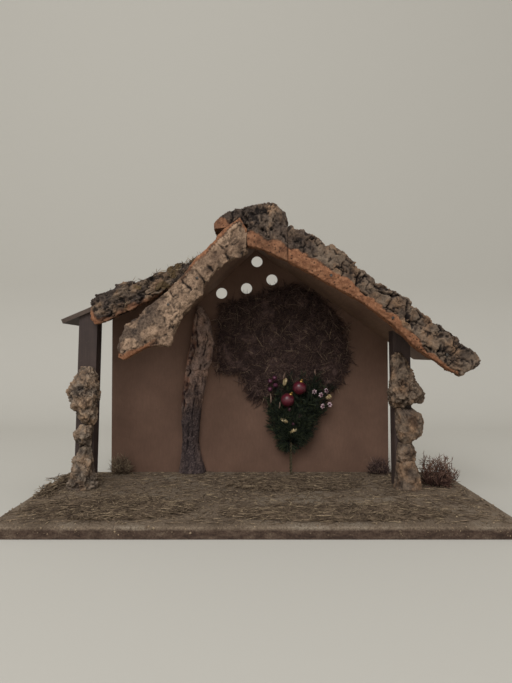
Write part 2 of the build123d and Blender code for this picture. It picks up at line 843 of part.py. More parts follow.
def make_nails(pieces):
    """Every nail, with its hole cut in the pieces that it joins."""
    groups = {"roof_brads": [], "panel_brads": [], "bark_brads": [], "post_nails": []}
    panel_middle = panel_rear - panel_thick / 2

    def drive(group, names, made):
        solid, hole = made
        groups[group].append(solid)
        for name in names:
            pieces[name] -= hole

    for share in right_brad_shares:
        x = panel_right * share
        place = slope_plane(x, panel_middle, right_top(x), right_tilt, 1)
        drive("roof_brads", ["right_roof_board", "back_panel"], brad(place))
    for share in left_brad_shares:
        x = -panel_left * share
        place = slope_plane(x, panel_middle, left_top(x), left_tilt, -1)
        drive("roof_brads", ["left_roof_board", "back_panel"], brad(place))
    for share in post_nail_shares:
        y = post_front + post_depth * share
        x = right_post_place + right_post_width * post_brad_share
        place = slope_plane(x, y, right_top(x), right_tilt, 1)
        drive("roof_brads", ["right_roof_board", "right_post"], brad(place))
        x = -left_post_place - left_post_width * post_brad_share
        place = slope_plane(x, y, left_top(x), left_tilt, -1)
        drive("roof_brads", ["left_roof_board", "left_post"], brad(place))
    for share in inner_brad_shares:
        x = -inner_run * share
        place = along_y(x, panel_rear, inner_under(x) + inner_rise / 2, 1)
        drive("panel_brads", ["back_panel", "inner_roof_board"], brad(place))
    for share in foot_brad_shares:
        x = (panel_right + panel_left) / 2 * share + (panel_right - panel_left) / 2
        drive("panel_brads", ["back_panel", "base_board"], brad(along_y(x, panel_rear, base_thick / 2, 1)))
    for name, place, lean, side in [
        ("left_post", left_post_place, left_post_lean, -1),
        ("right_post", right_post_place, right_post_lean, 1),
    ]:
        for share in post_nail_shares:
            seat = Plane(
                origin=(side * (place + lean), post_front + post_depth * share, 0),
                x_dir=(1, 0, 0),
                z_dir=(0, 0, -1),
            )
            made = nail(
                seat, post_nail_radius, post_nail_length, post_nail_head_radius, post_nail_head_thick
            )
            drive("post_nails", ["base_board", name], made)
    for share in right_barge_brad_shares:
        place = bark_edge_place(
            right_barge_shares, share, 0, right_barge_run, right_barge_proud,
            roof_edge, right_under, right_rise, 1,
        )
        drive("bark_brads", ["right_barge_bark", "right_roof_board"], brad(place, bark_brad_length))
    for share in left_barge_brad_shares:
        place = bark_edge_place(
            left_barge_shares, share, left_barge_start, left_barge_run, left_barge_proud,
            roof_edge, inner_under, inner_rise, -1,
        )
        drive("bark_brads", ["left_barge_bark", "inner_roof_board"], brad(place, bark_brad_length))
    return {name: Compound(children=solids) for name, solids in groups.items()}


pieces = {
    "base_board": make_base(),
    "back_panel": make_panel(),
    "left_post": make_post(left_post_place, left_post_width, left_post_lean, left_under, -1),
    "right_post": make_post(right_post_place, right_post_width, right_post_lean, right_under, 1),
    "right_roof_board": make_right_roof(),
    "inner_roof_board": make_inner_roof(),
    "left_roof_board": make_left_roof(),
    "right_barge_bark": make_right_barge(),
    "left_barge_bark": roof_bark(
        left_barge_start, left_barge_run, left_barge_lip, left_barge_crown, left_barge_proud,
        left_barge_reach, left_barge_shares, left_barge_relief, left_barge_front, left_barge_rear,
        roof_edge, inner_under, inner_top, -1,
    ),
    "left_roof_bark": roof_bark(
        left_roof_bark_start, left_roof_bark_run, left_roof_bark_lip, left_roof_bark_crown,
        left_roof_bark_proud, left_roof_bark_reach, left_roof_bark_shares, left_roof_bark_relief,
        left_roof_bark_front, left_roof_bark_rear, left_roof_edge, left_under, left_top, -1,
    ),
    "ridge_bark": make_ridge_bark(),
    "wall_moss": make_wall_moss(),
}
pieces.update(
    bark_stack(
        -left_post_place, post_front, room_under(left_under, -left_post_place, left_bark_head_room),
        left_bark_width, left_bark_depth,
        left_bark_names, left_bark_height_shares, left_bark_shares,
    )
)
pieces.update(
    bark_stack(
        right_post_place, post_front, room_under(right_under, right_post_place, right_bark_head_room),
        right_bark_width, right_bark_depth,
        right_bark_names, right_bark_height_shares, right_bark_shares,
    )
)
pieces.update(
    bark_stack(
        -pillar_place, panel_front, room_under(inner_under, -pillar_place, pillar_head_room),
        pillar_width, pillar_depth,
        pillar_names, pillar_height_shares, pillar_shares,
    )
)
for name, place_share, size_share in zip(floor_moss_names, floor_moss_place_shares, floor_moss_size_shares):
    pieces[name] = make_floor_moss(place_share, size_share)
pieces.update(make_tufts())
pieces.update(make_sprig())
pieces.update(make_nails(pieces))

os.makedirs("parts", exist_ok=True)
for name, solid in pieces.items():
    export_step(solid, os.path.join("parts", name + ".step"))
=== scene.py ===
"""Looks of the wooden nativity stable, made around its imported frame. Lengths are in metres."""
import math

import bmesh
import bpy
import numpy as np
from mathutils.bvhtree import BVHTree
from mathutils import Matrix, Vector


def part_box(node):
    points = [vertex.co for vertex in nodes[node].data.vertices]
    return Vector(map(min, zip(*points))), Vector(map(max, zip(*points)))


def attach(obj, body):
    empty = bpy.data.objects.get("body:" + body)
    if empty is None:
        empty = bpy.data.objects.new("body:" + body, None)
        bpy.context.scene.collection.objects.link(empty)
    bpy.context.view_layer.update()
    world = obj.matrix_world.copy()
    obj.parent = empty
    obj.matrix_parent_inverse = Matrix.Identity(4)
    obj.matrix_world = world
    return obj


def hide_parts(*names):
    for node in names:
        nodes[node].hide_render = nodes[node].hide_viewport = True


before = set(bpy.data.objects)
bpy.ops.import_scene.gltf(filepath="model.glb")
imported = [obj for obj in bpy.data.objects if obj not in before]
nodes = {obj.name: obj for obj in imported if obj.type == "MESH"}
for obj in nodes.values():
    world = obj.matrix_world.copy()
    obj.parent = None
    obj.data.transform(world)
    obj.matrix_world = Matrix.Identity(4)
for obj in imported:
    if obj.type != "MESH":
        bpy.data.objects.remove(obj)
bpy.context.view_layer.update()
mm = 0.001

# Camera, as the photograph was taken
image_height = 683.0
focal_pixels = 513.0
sensor_height = 36.0
eye = (0.0, -465 * mm, 136 * mm)
look_up = math.atan(11.5 / focal_pixels)

# Random draws, one seed for each kind of piece
seeds = {
    "wall": 11, "floor": 23, "litter": 37, "grains": 39, "clump": 41, "lichen": 53, "sprig": 67, "roof": 71,
}


# Noise in space, on arrays of points

def lattice(cell, seed):
    """A repeatable random number from 0 to 1 for each whole-number cell."""
    n = cell.astype(np.int64)
    h = n[:, 0] * 374761393 + n[:, 1] * 668265263 + n[:, 2] * 1440662683 + seed * 1274126177
    h = (h ^ (h >> 13)) * 1103515245
    return ((h ^ (h >> 16)) & 0xFFFFFF) / float(0x1000000)


def noise(points, size, seed):
    """Smooth noise from -1 to 1, with lumps of a given size."""
    place = points / size
    cell = np.floor(place)
    part = place - cell
    part = part * part * (3 - 2 * part)
    total = np.zeros(len(points))
    for corner in np.ndindex(2, 2, 2):
        weight = np.prod(np.where(corner, part, 1 - part), axis=1)
        total += weight * lattice(cell + corner, seed)
    return total * 2 - 1


def fractal(points, size, seed, octaves=4):
    """Layers of noise, each half the size and half the strength of the one before."""
    layers = (noise(points, size / 2**i, seed + i) / 2**i for i in range(octaves))
    return sum(layers)


def cells(points, size, seed):
    """Each point's way to the border of its cell, and its cell's own number from 0 to 1."""
    place = points / size
    cell = np.floor(place)
    first = np.full(len(points), np.inf)
    second = first.copy()
    number = np.zeros(len(points))
    for offset in np.ndindex(3, 3, 3):
        near = cell + np.array(offset) - 1
        spot = near + np.stack([lattice(near, seed + i) for i in range(3)], axis=1)
        away = np.linalg.norm(place - spot, axis=1)
        closer = away < first
        second = np.where(closer, first, np.minimum(second, away))
        number = np.where(closer, lattice(near, seed + 3), number)
        first = np.where(closer, away, first)
    return (second - first) * size, number


def smooth_step(low, high, values):
    part = np.clip((values - low) / (high - low), 0, 1)
    return part * part * (3 - 2 * part)


# Meshes

def coordinates(mesh):
    co = np.zeros(len(mesh.vertices) * 3, np.float32)
    mesh.vertices.foreach_get("co", co)
    return co.reshape(-1, 3).astype(float)


def set_coordinates(mesh, points):
    mesh.vertices.foreach_set("co", points.astype(np.float32).ravel())
    mesh.update()


def vertex_normals(mesh):
    normals = np.zeros(len(mesh.vertices) * 3, np.float32)
    mesh.vertex_normals.foreach_get("vector", normals)
    return normals.reshape(-1, 3).astype(float)


def add_attribute(mesh, name, values):
    attribute = mesh.attributes.new(name, "FLOAT", "POINT")
    attribute.data.foreach_set("value", np.asarray(values, np.float32))


def add_piece(name, mesh, material, replaced=()):
    """A new piece that rides on the part, with its material, hiding the nodes it replaces."""
    piece = bpy.data.objects.new(name, mesh)
    bpy.context.scene.collection.objects.link(piece)
    mesh.materials.clear()
    mesh.materials.append(material)
    mesh.shade_smooth()
    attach(piece, "root")
    if replaced:
        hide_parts(*replaced)
    return piece


def remeshed(node, voxel, softening):
    """A node's shape as an even, fine mesh with softened edges."""
    copy = bpy.data.objects.new(node + "_copy", nodes[node].data.copy())
    bpy.context.scene.collection.objects.link(copy)
    work = bmesh.new()
    work.from_mesh(copy.data)
    bmesh.ops.remove_doubles(work, verts=work.verts, dist=0.001 * mm)
    work.to_mesh(copy.data)
    work.free()
    remesh = copy.modifiers.new("even", "REMESH")
    remesh.mode = "VOXEL"
    remesh.voxel_size = voxel
    smooth = copy.modifiers.new("soft", "SMOOTH")
    smooth.factor = 0.5
    smooth.iterations = softening
    graph = bpy.context.evaluated_depsgraph_get()
    mesh = bpy.data.meshes.new_from_object(copy.evaluated_get(graph))
    bpy.data.objects.remove(copy)
    return mesh


def tree_of(names):
    """A search tree over the faces of some nodes."""
    points, faces = [], []
    for name in names:
        mesh = nodes[name].data
        start = len(points)
        points += [v.co.copy() for v in mesh.vertices]
        faces += [[start + i for i in p.vertices] for p in mesh.polygons]
    return BVHTree.FromPolygons(points, faces)


def way_to(tree, points):
    """Each point's distance to the nearest face in a search tree."""
    return np.array([tree.find_nearest(p)[3] for p in points])


# Shader nodes

class Shader:
    """A material whose nodes are added one call at a time."""

    def __init__(self, name):
        self.material = bpy.data.materials.new(name)
        self.material.use_nodes = True
        self.tree = self.material.node_tree
        self.surface = self.tree.nodes["Principled BSDF"]
        self.place = self.tree.nodes.new("ShaderNodeTexCoord").outputs["Object"]

    def link(self, source, socket):
        self.tree.links.new(source, socket)

    def put(self, socket, value):
        """Sets a socket to a number or colour, or links it to another node's output."""
        if isinstance(value, bpy.types.NodeSocket):
            self.link(value, socket)
        elif isinstance(value, tuple) and len(value) == 3 and socket.type == "RGBA":
            socket.default_value = (*value, 1)
        else:
            socket.default_value = value

    def set(self, **values):
        for name, value in values.items():
            self.put(self.surface.inputs[name.replace("_", " ")], value)

    def attribute(self, name):
        node = self.tree.nodes.new("ShaderNodeAttribute")
        node.attribute_name = name
        return node.outputs["Fac"]

    def stretched(self, scales):
        node = self.tree.nodes.new("ShaderNodeMapping")
        node.inputs["Scale"].default_value = scales
        self.link(self.place, node.inputs["Vector"])
        return node.outputs["Vector"]

    def height(self, low, high):
        """From 0 at one height to 1 at another."""
        axes = self.tree.nodes.new("ShaderNodeSeparateXYZ")
        self.link(self.place, axes.inputs["Vector"])
        node = self.tree.nodes.new("ShaderNodeMapRange")
        node.inputs["From Min"].default_value = low
        node.inputs["From Max"].default_value = high
        self.link(axes.outputs["Z"], node.inputs["Value"])
        return node.outputs["Result"]

    def noise(self, size, detail=4.0, rough=0.6, place=None, distortion=0.0):
        node = self.tree.nodes.new("ShaderNodeTexNoise")
        node.inputs["Scale"].default_value = 1 / size
        node.inputs["Detail"].default_value = detail
        node.inputs["Roughness"].default_value = rough
        node.inputs["Distortion"].default_value = distortion
        self.link(place or self.place, node.inputs["Vector"])
        return node.outputs["Fac"]

    def spots(self, size, place=None):
        node = self.tree.nodes.new("ShaderNodeTexVoronoi")
        node.inputs["Scale"].default_value = 1 / size
        self.link(place or self.place, node.inputs["Vector"])
        return node.outputs["Distance"]

    def ramp(self, source, stops):
        """Colours or grey values along a source from 0 to 1."""
        node = self.tree.nodes.new("ShaderNodeValToRGB")
        elements = node.color_ramp.elements
        while len(elements) < len(stops):
            elements.new(1.0)
        for element, (place, colour) in zip(elements, stops):
            element.position = place
            element.color = (*colour, 1) if isinstance(colour, tuple) else (colour, colour, colour, 1)
        self.link(source, node.inputs["Fac"])
        return node.outputs["Color"]

    def mix(self, share, first, second, blend="MIX"):
        node = self.tree.nodes.new("ShaderNodeMix")
        node.data_type = "RGBA"
        node.blend_type = blend
        self.put(node.inputs["Factor"], share)
        self.put(node.inputs["A"], first)
        self.put(node.inputs["B"], second)
        return node.outputs["Result"]

    def bump(self, height, distance, strength=1.0, under=None):
        node = self.tree.nodes.new("ShaderNodeBump")
        node.inputs["Strength"].default_value = strength
        node.inputs["Distance"].default_value = distance
        self.link(height, node.inputs["Height"])
        if under:
            self.link(under, node.inputs["Normal"])
        return node.outputs["Normal"]


def srgb(red, green, blue):
    """A colour read as screen values from 0 to 255, as linear light."""
    return tuple(((c / 255 + 0.055) / 1.055) ** 2.4 for c in (red, green, blue))


# Materials

def make_bark(name, tone=(1.0, 1.0, 1.0)):
    """Cork bark: grey and tan plates, lighter where they stand higher as a painted highlight, cracks darkened
    with painted shade, dark crust, cork where it was cut, moss where it grew.
    """
    shader = Shader(name)
    dark = srgb(31, 26, 24)
    # level: lightness that follows the relief, a painted highlight on raised plates and painted shade in hollows
    level = shader.attribute("level")
    crack_shade = shader.attribute("crack_shade")
    patches = shader.noise(13 * mm, 6, 0.65)
    grain = shader.noise(1.9 * mm, 6, 0.75)
    flecks = shader.noise(0.8 * mm, 3, 0.7)
    grey = shader.mix(level, srgb(60, 51, 45), srgb(128, 111, 95))
    tan = shader.mix(level, srgb(76, 58, 45), srgb(146, 116, 90))
    plates = shader.mix(shader.ramp(patches, [(0.44, 0.0), (0.62, 0.85)]), grey, tan)
    speckled = shader.mix(shader.ramp(grain, [(0.34, 0.65), (0.5, 0.0)]), plates, srgb(60, 48, 40))
    speckled = shader.mix(shader.ramp(flecks, [(0.3, 0.45), (0.5, 0.0)]), speckled, dark)
    smooth = shader.mix(level, srgb(103, 83, 68), srgb(164, 138, 115))
    smooth = shader.mix(shader.ramp(grain, [(0.38, 0.75), (0.52, 0.0)]), smooth, srgb(72, 56, 46))
    smooth = shader.mix(shader.ramp(flecks, [(0.34, 0.4), (0.46, 0.0)]), smooth, srgb(48, 38, 32))
    speckled = shader.mix(shader.attribute("warm"), speckled, smooth)
    crust = shader.ramp(
        grain, [(0.35, srgb(36, 31, 29)), (0.52, srgb(62, 53, 48)), (0.72, srgb(100, 87, 76))]
    )
    charred = shader.mix(shader.attribute("char"), speckled, crust)
    # Painted shade: cracks, creases, pits and splits, and the seam beside the cut cork, are darkened
    crack_shaded = shader.mix(crack_shade, charred, dark)
    fibres = shader.noise(3.5 * mm, 6, 0.75)
    cork = shader.ramp(
        fibres, [(0.3, srgb(90, 59, 43)), (0.5, srgb(128, 88, 64)), (0.72, srgb(160, 119, 90))]
    )
    worm_eaten = shader.ramp(shader.noise(15 * mm, 4, 0.65), [(0.38, 0.0), (0.54, 1.0)])
    pores = shader.ramp(shader.spots(3.0 * mm), [(0.16, 0.95), (0.34, 0.0)])
    cork = shader.mix(shader.mix(worm_eaten, (0.0, 0.0, 0.0), pores), cork, srgb(54, 36, 28))
    # Painted shade in the cracks of the cut cork too
    cork = shader.mix(crack_shade, cork, srgb(58, 39, 30))
    surface = shader.mix(shader.attribute("cut"), crack_shaded, cork)
    moss = shader.ramp(
        grain, [(0.3, srgb(50, 40, 29)), (0.55, srgb(88, 72, 51)), (0.75, srgb(124, 105, 77))]
    )
    surface = shader.mix(shader.attribute("moss"), surface, moss)
    surface = shader.mix(1.0, surface, tone, "MULTIPLY")
    rough = shader.bump(grain, 0.6 * mm, 0.8)
    rough = shader.bump(flecks, 0.25 * mm, 0.6, rough)
    shader.set(Base_Color=surface, Roughness=0.95, Normal=rough)
    shader.surface.inputs["Specular IOR Level"].default_value = 0.15
    return shader.material


def make_board(name, light, dark, scales, worn, grained):
    """Painted or stained board: colour that varies along the grain, scuffs and raised fibres."""
    shader = Shader(name)
    grain = shader.noise(2.2 * mm, 6, 0.65, shader.stretched(scales), 0.4)
    clouds = shader.noise(38 * mm, 5, 0.6)
    body = shader.mix(shader.ramp(clouds, [(0.3, 0.0), (0.7, 1.0)]), dark, light)
    deep = tuple(c * 0.55 for c in dark)
    lines = shader.mix(shader.ramp(grain, [(0.4, grained), (0.6, 0.0)]), body, deep)
    scuffs = shader.ramp(shader.noise(9 * mm, 8, 0.75), [(0.62, 0.0), (0.72, 0.5)])
    surface = shader.mix(scuffs, lines, worn)
    shader.set(
        Base_Color=surface,
        Roughness=0.72,
        Normal=shader.bump(grain, 0.25 * mm, 0.5),
    )
    shader.surface.inputs["Specular IOR Level"].default_value = 0.3
    return shader.material


def make_base_finish():
    """Fibreboard glued over with sawdust and crumbled moss, its edge left darker."""
    shader = Shader("base_finish")
    crumbs = shader.noise(1.3 * mm, 5, 0.75)
    patches = shader.noise(34 * mm, 6, 0.6)
    body = shader.ramp(
        patches, [(0.3, srgb(99, 86, 73)), (0.5, srgb(127, 112, 96)), (0.72, srgb(148, 136, 120))]
    )
    dusty = shader.mix(shader.ramp(crumbs, [(0.35, 0.85), (0.6, 0.0)]), body, srgb(62, 50, 40))
    flecks = shader.ramp(shader.noise(4.5 * mm, 7, 0.8), [(0.6, 0.0), (0.68, 0.7)])
    top = shader.mix(flecks, dusty, srgb(156, 138, 108))
    streaks = shader.noise(5 * mm, 6, 0.7, shader.stretched((0.4, 0.4, 1)))
    edge = shader.ramp(
        streaks, [(0.35, srgb(58, 46, 40)), (0.5, srgb(86, 70, 60)), (0.66, srgb(112, 96, 82))]
    )
    edge = shader.mix(shader.ramp(crumbs, [(0.35, 0.7), (0.6, 0.0)]), edge, srgb(50, 40, 35))
    surface = shader.mix(shader.height(6.0 * mm, 8.2 * mm), edge, top)
    rough = shader.bump(crumbs, 0.7 * mm, 0.9)
    shader.set(Base_Color=surface, Roughness=0.95, Normal=rough)
    shader.surface.inputs["Specular IOR Level"].default_value = 0.1
    return shader.material


def make_fibre(name, stops, roughness=0.85):
    """Dried fibres: each strand has its own tint, with darker streaks."""
    shader = Shader(name)
    tint = shader.ramp(shader.attribute("tint"), stops)
    streaks = shader.noise(1.2 * mm, 3, 0.6)
    deep = tuple(c * 0.4 for c in stops[0][1])
    surface = shader.mix(shader.ramp(streaks, [(0.35, 0.5), (0.6, 0.0)]), tint, deep)
    shader.set(Base_Color=surface, Roughness=roughness)
    shader.surface.inputs["Specular IOR Level"].default_value = 0.2
    return shader.material


def make_lacquer(name, colour, shade, roughness, metal=0.0):
    """Lacquered trim with a slightly uneven coat."""
    shader = Shader(name)
    uneven = shader.noise(2.5 * mm, 4, 0.6)
    surface = shader.mix(shader.ramp(uneven, [(0.35, 0.0), (0.65, 1.0)]), shade, colour)
    shader.set(
        Base_Color=surface,
        Roughness=roughness,
        Metallic=metal,
        Normal=shader.bump(uneven, 0.15 * mm, 0.4),
    )
    return shader.material


bark = make_bark("bark", (1.1, 1.1, 1.1))
pale_bark = make_bark("pale_bark", (1.34, 1.42, 1.48))
pillar_bark = make_bark("pillar_bark", (1.45, 1.42, 1.64))
panel_paint = make_board(
    "panel_paint", srgb(112, 85, 70), srgb(95, 71, 58), (1, 1, 0.3), srgb(122, 97, 81), 0.14
)
post_stain = make_board(
    "post_stain", srgb(75, 61, 56), srgb(54, 44, 41), (1, 1, 0.06), srgb(96, 82, 74), 0.3
)
# One brown roof paint in two copies: a lighter one, painted bounce light on the undersides of the right and
# inner boards, and a darker one, painted shade on the left board
lit_roof_paint = make_board(
    "lit_roof_paint", srgb(138, 111, 92), srgb(112, 87, 72), (1, 0.12, 1), srgb(148, 127, 109), 0.3
)
shaded_roof_paint = make_board(
    "shaded_roof_paint", srgb(88, 74, 65), srgb(68, 56, 48), (1, 0.12, 1), srgb(104, 91, 80), 0.3
)
base_finish = make_base_finish()
moss_finish = make_fibre(
    "moss_fibre",
    [(0.0, srgb(86, 72, 60)), (0.5, srgb(128, 110, 90)), (0.8, srgb(152, 132, 108)), (1.0, srgb(176, 156, 126))],
)
wall_finish = make_fibre(
    "wall_fibre",
    [(0.0, srgb(62, 48, 46)), (0.55, srgb(106, 84, 77)), (0.9, srgb(134, 110, 97)), (1.0, srgb(170, 146, 121))],
)
lichen_finish = make_fibre(
    "lichen_fibre", [(0.0, srgb(62, 43, 38)), (0.6, srgb(100, 73, 62)), (1.0, srgb(140, 110, 94))]
)
green_finish = make_fibre(
    "needle_green", [(0.0, srgb(24, 29, 24)), (0.6, srgb(42, 51, 38)), (1.0, srgb(80, 86, 58))], 0.5
)
gold = make_lacquer("cap_gold", srgb(196, 160, 92), srgb(140, 104, 52), 0.3, 1.0)
steel = make_lacquer("nail_steel", srgb(92, 88, 84), srgb(50, 44, 40), 0.45, 1.0)
crimson = make_lacquer("bauble_crimson", srgb(96, 29, 42), srgb(66, 19, 30), 0.35)
purple = make_lacquer("berry_purple", srgb(92, 36, 62), srgb(58, 24, 44), 0.35)
cream = make_lacquer("bud_cream", srgb(206, 190, 150), srgb(168, 142, 96), 0.5)
pearl = make_lacquer("bead_pearl", srgb(206, 184, 186), srgb(150, 118, 126), 0.2)
stem_finish = make_lacquer("stem_brown", srgb(84, 74, 46), srgb(54, 46, 30), 0.7)


# CAD nodes that keep their shape

for names, material in [
    (["base_board"], base_finish),
    (["back_panel"], panel_paint),
    (["left_post", "right_post"], post_stain),
    # The right and inner roof boards get the lit copy of the roof paint, the left board the shaded copy
    (["right_roof_board", "inner_roof_board"], lit_roof_paint),
    (["left_roof_board"], shaded_roof_paint),
    (["roof_brads", "panel_brads", "bark_brads", "post_nails"], steel),
]:
    for name in names:
        nodes[name].data.materials.clear()
        nodes[name].data.materials.append(material)


# Bark

def way_to_lines(points, lines):
    """Each point's distance, seen from the front, to the nearest of some drawn lines."""
    flat = points[:, [0, 2]]
    nearest = np.full(len(points), np.inf)
    for line in lines:
        corners = np.array(line) * mm
        for start, end in zip(corners, corners[1:]):
            run = end - start
            share = np.clip((flat - start) @ run / (run @ run), 0, 1)
            nearest = np.minimum(nearest, np.linalg.norm(flat - start - share[:, None] * run, axis=1))
    return nearest


def lying(points, lean, stretch):
    """Points turned so that a slope lies level, with the plates' lengths and breadths made even."""
    cosine, sine = math.cos(math.radians(lean)), math.sin(math.radians(lean))
    x, y, z = points.T
    return np.stack([x * cosine + z * sine, y, z * cosine - x * sine], axis=1) / np.array(stretch)


def bark_piece(node, carriers, voxel, plate, depth, seed, cracking=1.0, crumbling=1.0, lean=0.0,
               stretch=(1, 1, 1), splits=(), ragged=0.15, material=bark, **masks):
    """A bark node with plates, flakes, ledges, cracks and pits, left flat where it is glued on."""
    mesh = remeshed(node, voxel, 1)
    points = coordinates(mesh)
    normals = vertex_normals(mesh)
    free = smooth_step(0.3 * mm, 2.5 * mm, way_to(tree_of(carriers), points))
    warp = np.stack([fractal(points, 9 * mm, seed + 31 * i, 4) for i in range(3)], axis=1)
    warped = lying(points + warp * plate * 0.25, lean, stretch)
    border, number = cells(warped, plate, seed)
    broken = smooth_step(-0.1, 0.4, fractal(points, 17 * mm, seed + 2, 3))
    wide_crack = (1 - smooth_step(0.01 * plate, 0.08 * plate, border)) * broken
    flake_size = plate * 0.24
    rim, flake = cells(lying(points + warp * 2.4 * mm, lean, stretch), flake_size, seed + 5)
    crease = 1 - smooth_step(0.02 * flake_size, 0.2 * flake_size, rim)
    crease = crease * smooth_step(0.0, 0.5, fractal(points, 9 * mm, seed + 6, 3)) * crumbling
    pit = smooth_step(0.42, 0.72, fractal(points + warp * 2 * mm, 4.4 * mm, seed + 8, 3))
    ledges = fractal(warped, plate * 0.55, seed + 10, 4) * 3.5
    step = np.floor(ledges) + smooth_step(0.0, 0.15, ledges - np.floor(ledges))
    lumps = fractal(points, 4.5 * mm, seed + 9, 4)
    grit = fractal(points, 2.2 * mm, seed + 12, 2)
    away = way_to_lines(points + warp * 1.2 * mm, splits) + lumps * 0.4 * mm
    split_reach = 0.5 * mm + 1.1 * mm * crumbling
    split = (1 - smooth_step(0.1 * split_reach, split_reach, away)) * smooth_step(0.3, 0.0, normals[:, 1])
    split *= smooth_step(-0.5, 0.1, noise(points, 5 * mm, seed + 15))
    relief = (number - 0.5) * 0.3 + (flake - 0.5) * 0.3 * crumbling + step * 0.12 + lumps * 0.1 + grit * 0.06
    relief -= cracking * (wide_crack * 0.6 + pit * 0.25) + crease * 0.25 + split * 0.8 + 0.1
    edge = smooth_step(0.8, 0.3, np.abs(normals[:, 1]))
    relief += edge * fractal(points, 7 * mm, seed + 20, 4) * ragged
    shown = {name: mask(points, normals) for name, mask in masks.items()}
    cut = shown.get("cut", np.zeros(len(points)))
    # Painted shadow: a dark line along the border of the cut cork, where the bark overhangs it; the relief also
    # sinks it a little
    seam_shadow = 4 * cut * (1 - cut) * smooth_step(-0.4, 0.3, noise(points, 6 * mm, seed + 16))
    relief = relief * (1 - 0.75 * cut) + cut * fractal(points, 3 * mm, seed + 13, 3) * 0.1 - seam_shadow * 0.2
    set_coordinates(mesh, points + normals * (relief * depth * free)[:, None])
    # Lightness follows the relief: each plate, flake, ledge and lump is lighter the higher it stands, a painted
    # highlight on raised bark and painted shade in its hollows
    level = 0.5 + step * 0.1 + lumps * 0.25 + (number - 0.5) * 0.35 + (flake - 0.5) * 0.45
    # Painted shade: darker where the relief sinks into cracks, pits, creases and splits
    crack_shade = np.clip(cracking * (wide_crack + pit * 0.9) + crease * 0.7 + split, 0, 1)
    add_attribute(mesh, "crack_shade", np.clip(crack_shade * (1 - 0.8 * cut) + seam_shadow * 0.7, 0, 1))
    add_attribute(mesh, "level", np.clip(level, 0, 1))
    for name in ("cut", "char", "moss", "warm"):
        add_attribute(mesh, name, shown.get(name, np.zeros(len(points))))
    return add_piece(node + "_rough", mesh, material, [node])


def inside_outline(points, upward):
    """How far each point lies below the outline's top at its X, or above its foot where upward is -1."""
    column = np.floor((points[:, 0] - points[:, 0].min()) / (2 * mm)).astype(int)
    heights = points[:, 2] * upward
    edge = np.full(column.max() + 1, -np.inf)
    np.maximum.at(edge, column, heights)
    return edge[column] - heights


def under_line(board):
    """The height of a roof board's underside at any X, from its ridge and eave corners."""
    points = coordinates(nodes[board].data)
    eave = points[np.argmin(points[:, 2])]
    middle = points[np.abs(points[:, 0]) < np.abs(points[:, 0]).min() + 0.01 * mm]
    ridge = middle[np.argmin(middle[:, 2])]
    slope = (eave[2] - ridge[2]) / (eave[0] - ridge[0])
    return lambda x: ridge[2] + slope * (x - ridge[0])


right_under = under_line("right_roof_board")
left_under = under_line("left_roof_board")


def right_barge_cut(points, normals):
    """The sawn lower edge along the front of the right roof's bark."""
    line = np.interp(points[:, 0] / mm, *zip(*right_cut_line)) * mm
    ragged = fractal(points, 10 * mm, 91, 5) * 3.6 * mm
    below = points[:, 2] - right_under(points[:, 0]) - line - ragged
    front = smooth_step(0.5, 0.1, normals[:, 1])
    return (1 - smooth_step(-1.0 * mm, 1.0 * mm, below)) * front


def right_barge_char(points, normals):
    """Dark crust here and there, most of it beside the ridge bark."""
    beside = 1 - smooth_step(30 * mm, 70 * mm, points[:, 0])
    return smooth_step(0.1, 0.6, fractal(points, 24 * mm, 89, 4) + beside * 0.35) * 0.75


def ridge_cut(points, normals):
    """The cut left end of the ridge bark, and the sawn edge of the end that hangs over the front."""
    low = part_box("left_barge_bark")[1][2] - 18 * mm
    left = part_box("ridge_bark")[0][0]
    way = points[:, 0] - left + np.maximum(points[:, 2] - low, 0) * 0.75
    end = 1 - smooth_step(3 * mm, 6 * mm, way + fractal(points, 8 * mm, 93, 4) * 4 * mm)
    return np.maximum(end, right_barge_cut(points, normals) * 0.85)


def ridge_char(points, normals):
    return smooth_step(-0.5, 0.2, fractal(points / np.array((1, 1, 1.8)), 8 * mm, 94, 4)) * 0.8


def strip_cut(points, normals):
    """The cut lower lip of the bark strip, and the cork that shows along its upper edge towards the ridge."""
    low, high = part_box("left_barge_bark")
    ragged = fractal(points, 8 * mm, 95, 3) * 2.0 * mm
    outer = 1 - smooth_step(24 * mm, 40 * mm, points[:, 0] - low[0])
    lip = (1 - smooth_step(3.5 * mm, 5.5 * mm, inside_outline(points, -1) + ragged)) * outer
    upper = smooth_step(-66 * mm, -46 * mm, points[:, 0] - high[0])
    rim = (1 - smooth_step(5.5 * mm, 8.0 * mm, inside_outline(points, 1) + ragged)) * upper
    return np.clip(lip + rim, 0, 1) * smooth_step(0.6, 0.2, normals[:, 1])


def strip_char(points, normals):
    """Dark crust on the lower third of the strip, away from its smooth inner corner."""
    low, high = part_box("left_barge_bark")
    outer = (points[:, 2] - low[2]) - (points[:, 0] - low[0]) * 0.9
    lower = 1 - smooth_step(28 * mm, 50 * mm, points[:, 0] - low[0])
    crust = smooth_step(-0.2, 0.4, fractal(points, 9 * mm, 96, 4) + outer / (40 * mm))
    elsewhere = smooth_step(0.45, 0.8, fractal(points, 12 * mm, 88, 4))
    return np.clip(crust * lower * 0.75 + elsewhere * 0.2, 0, 1)


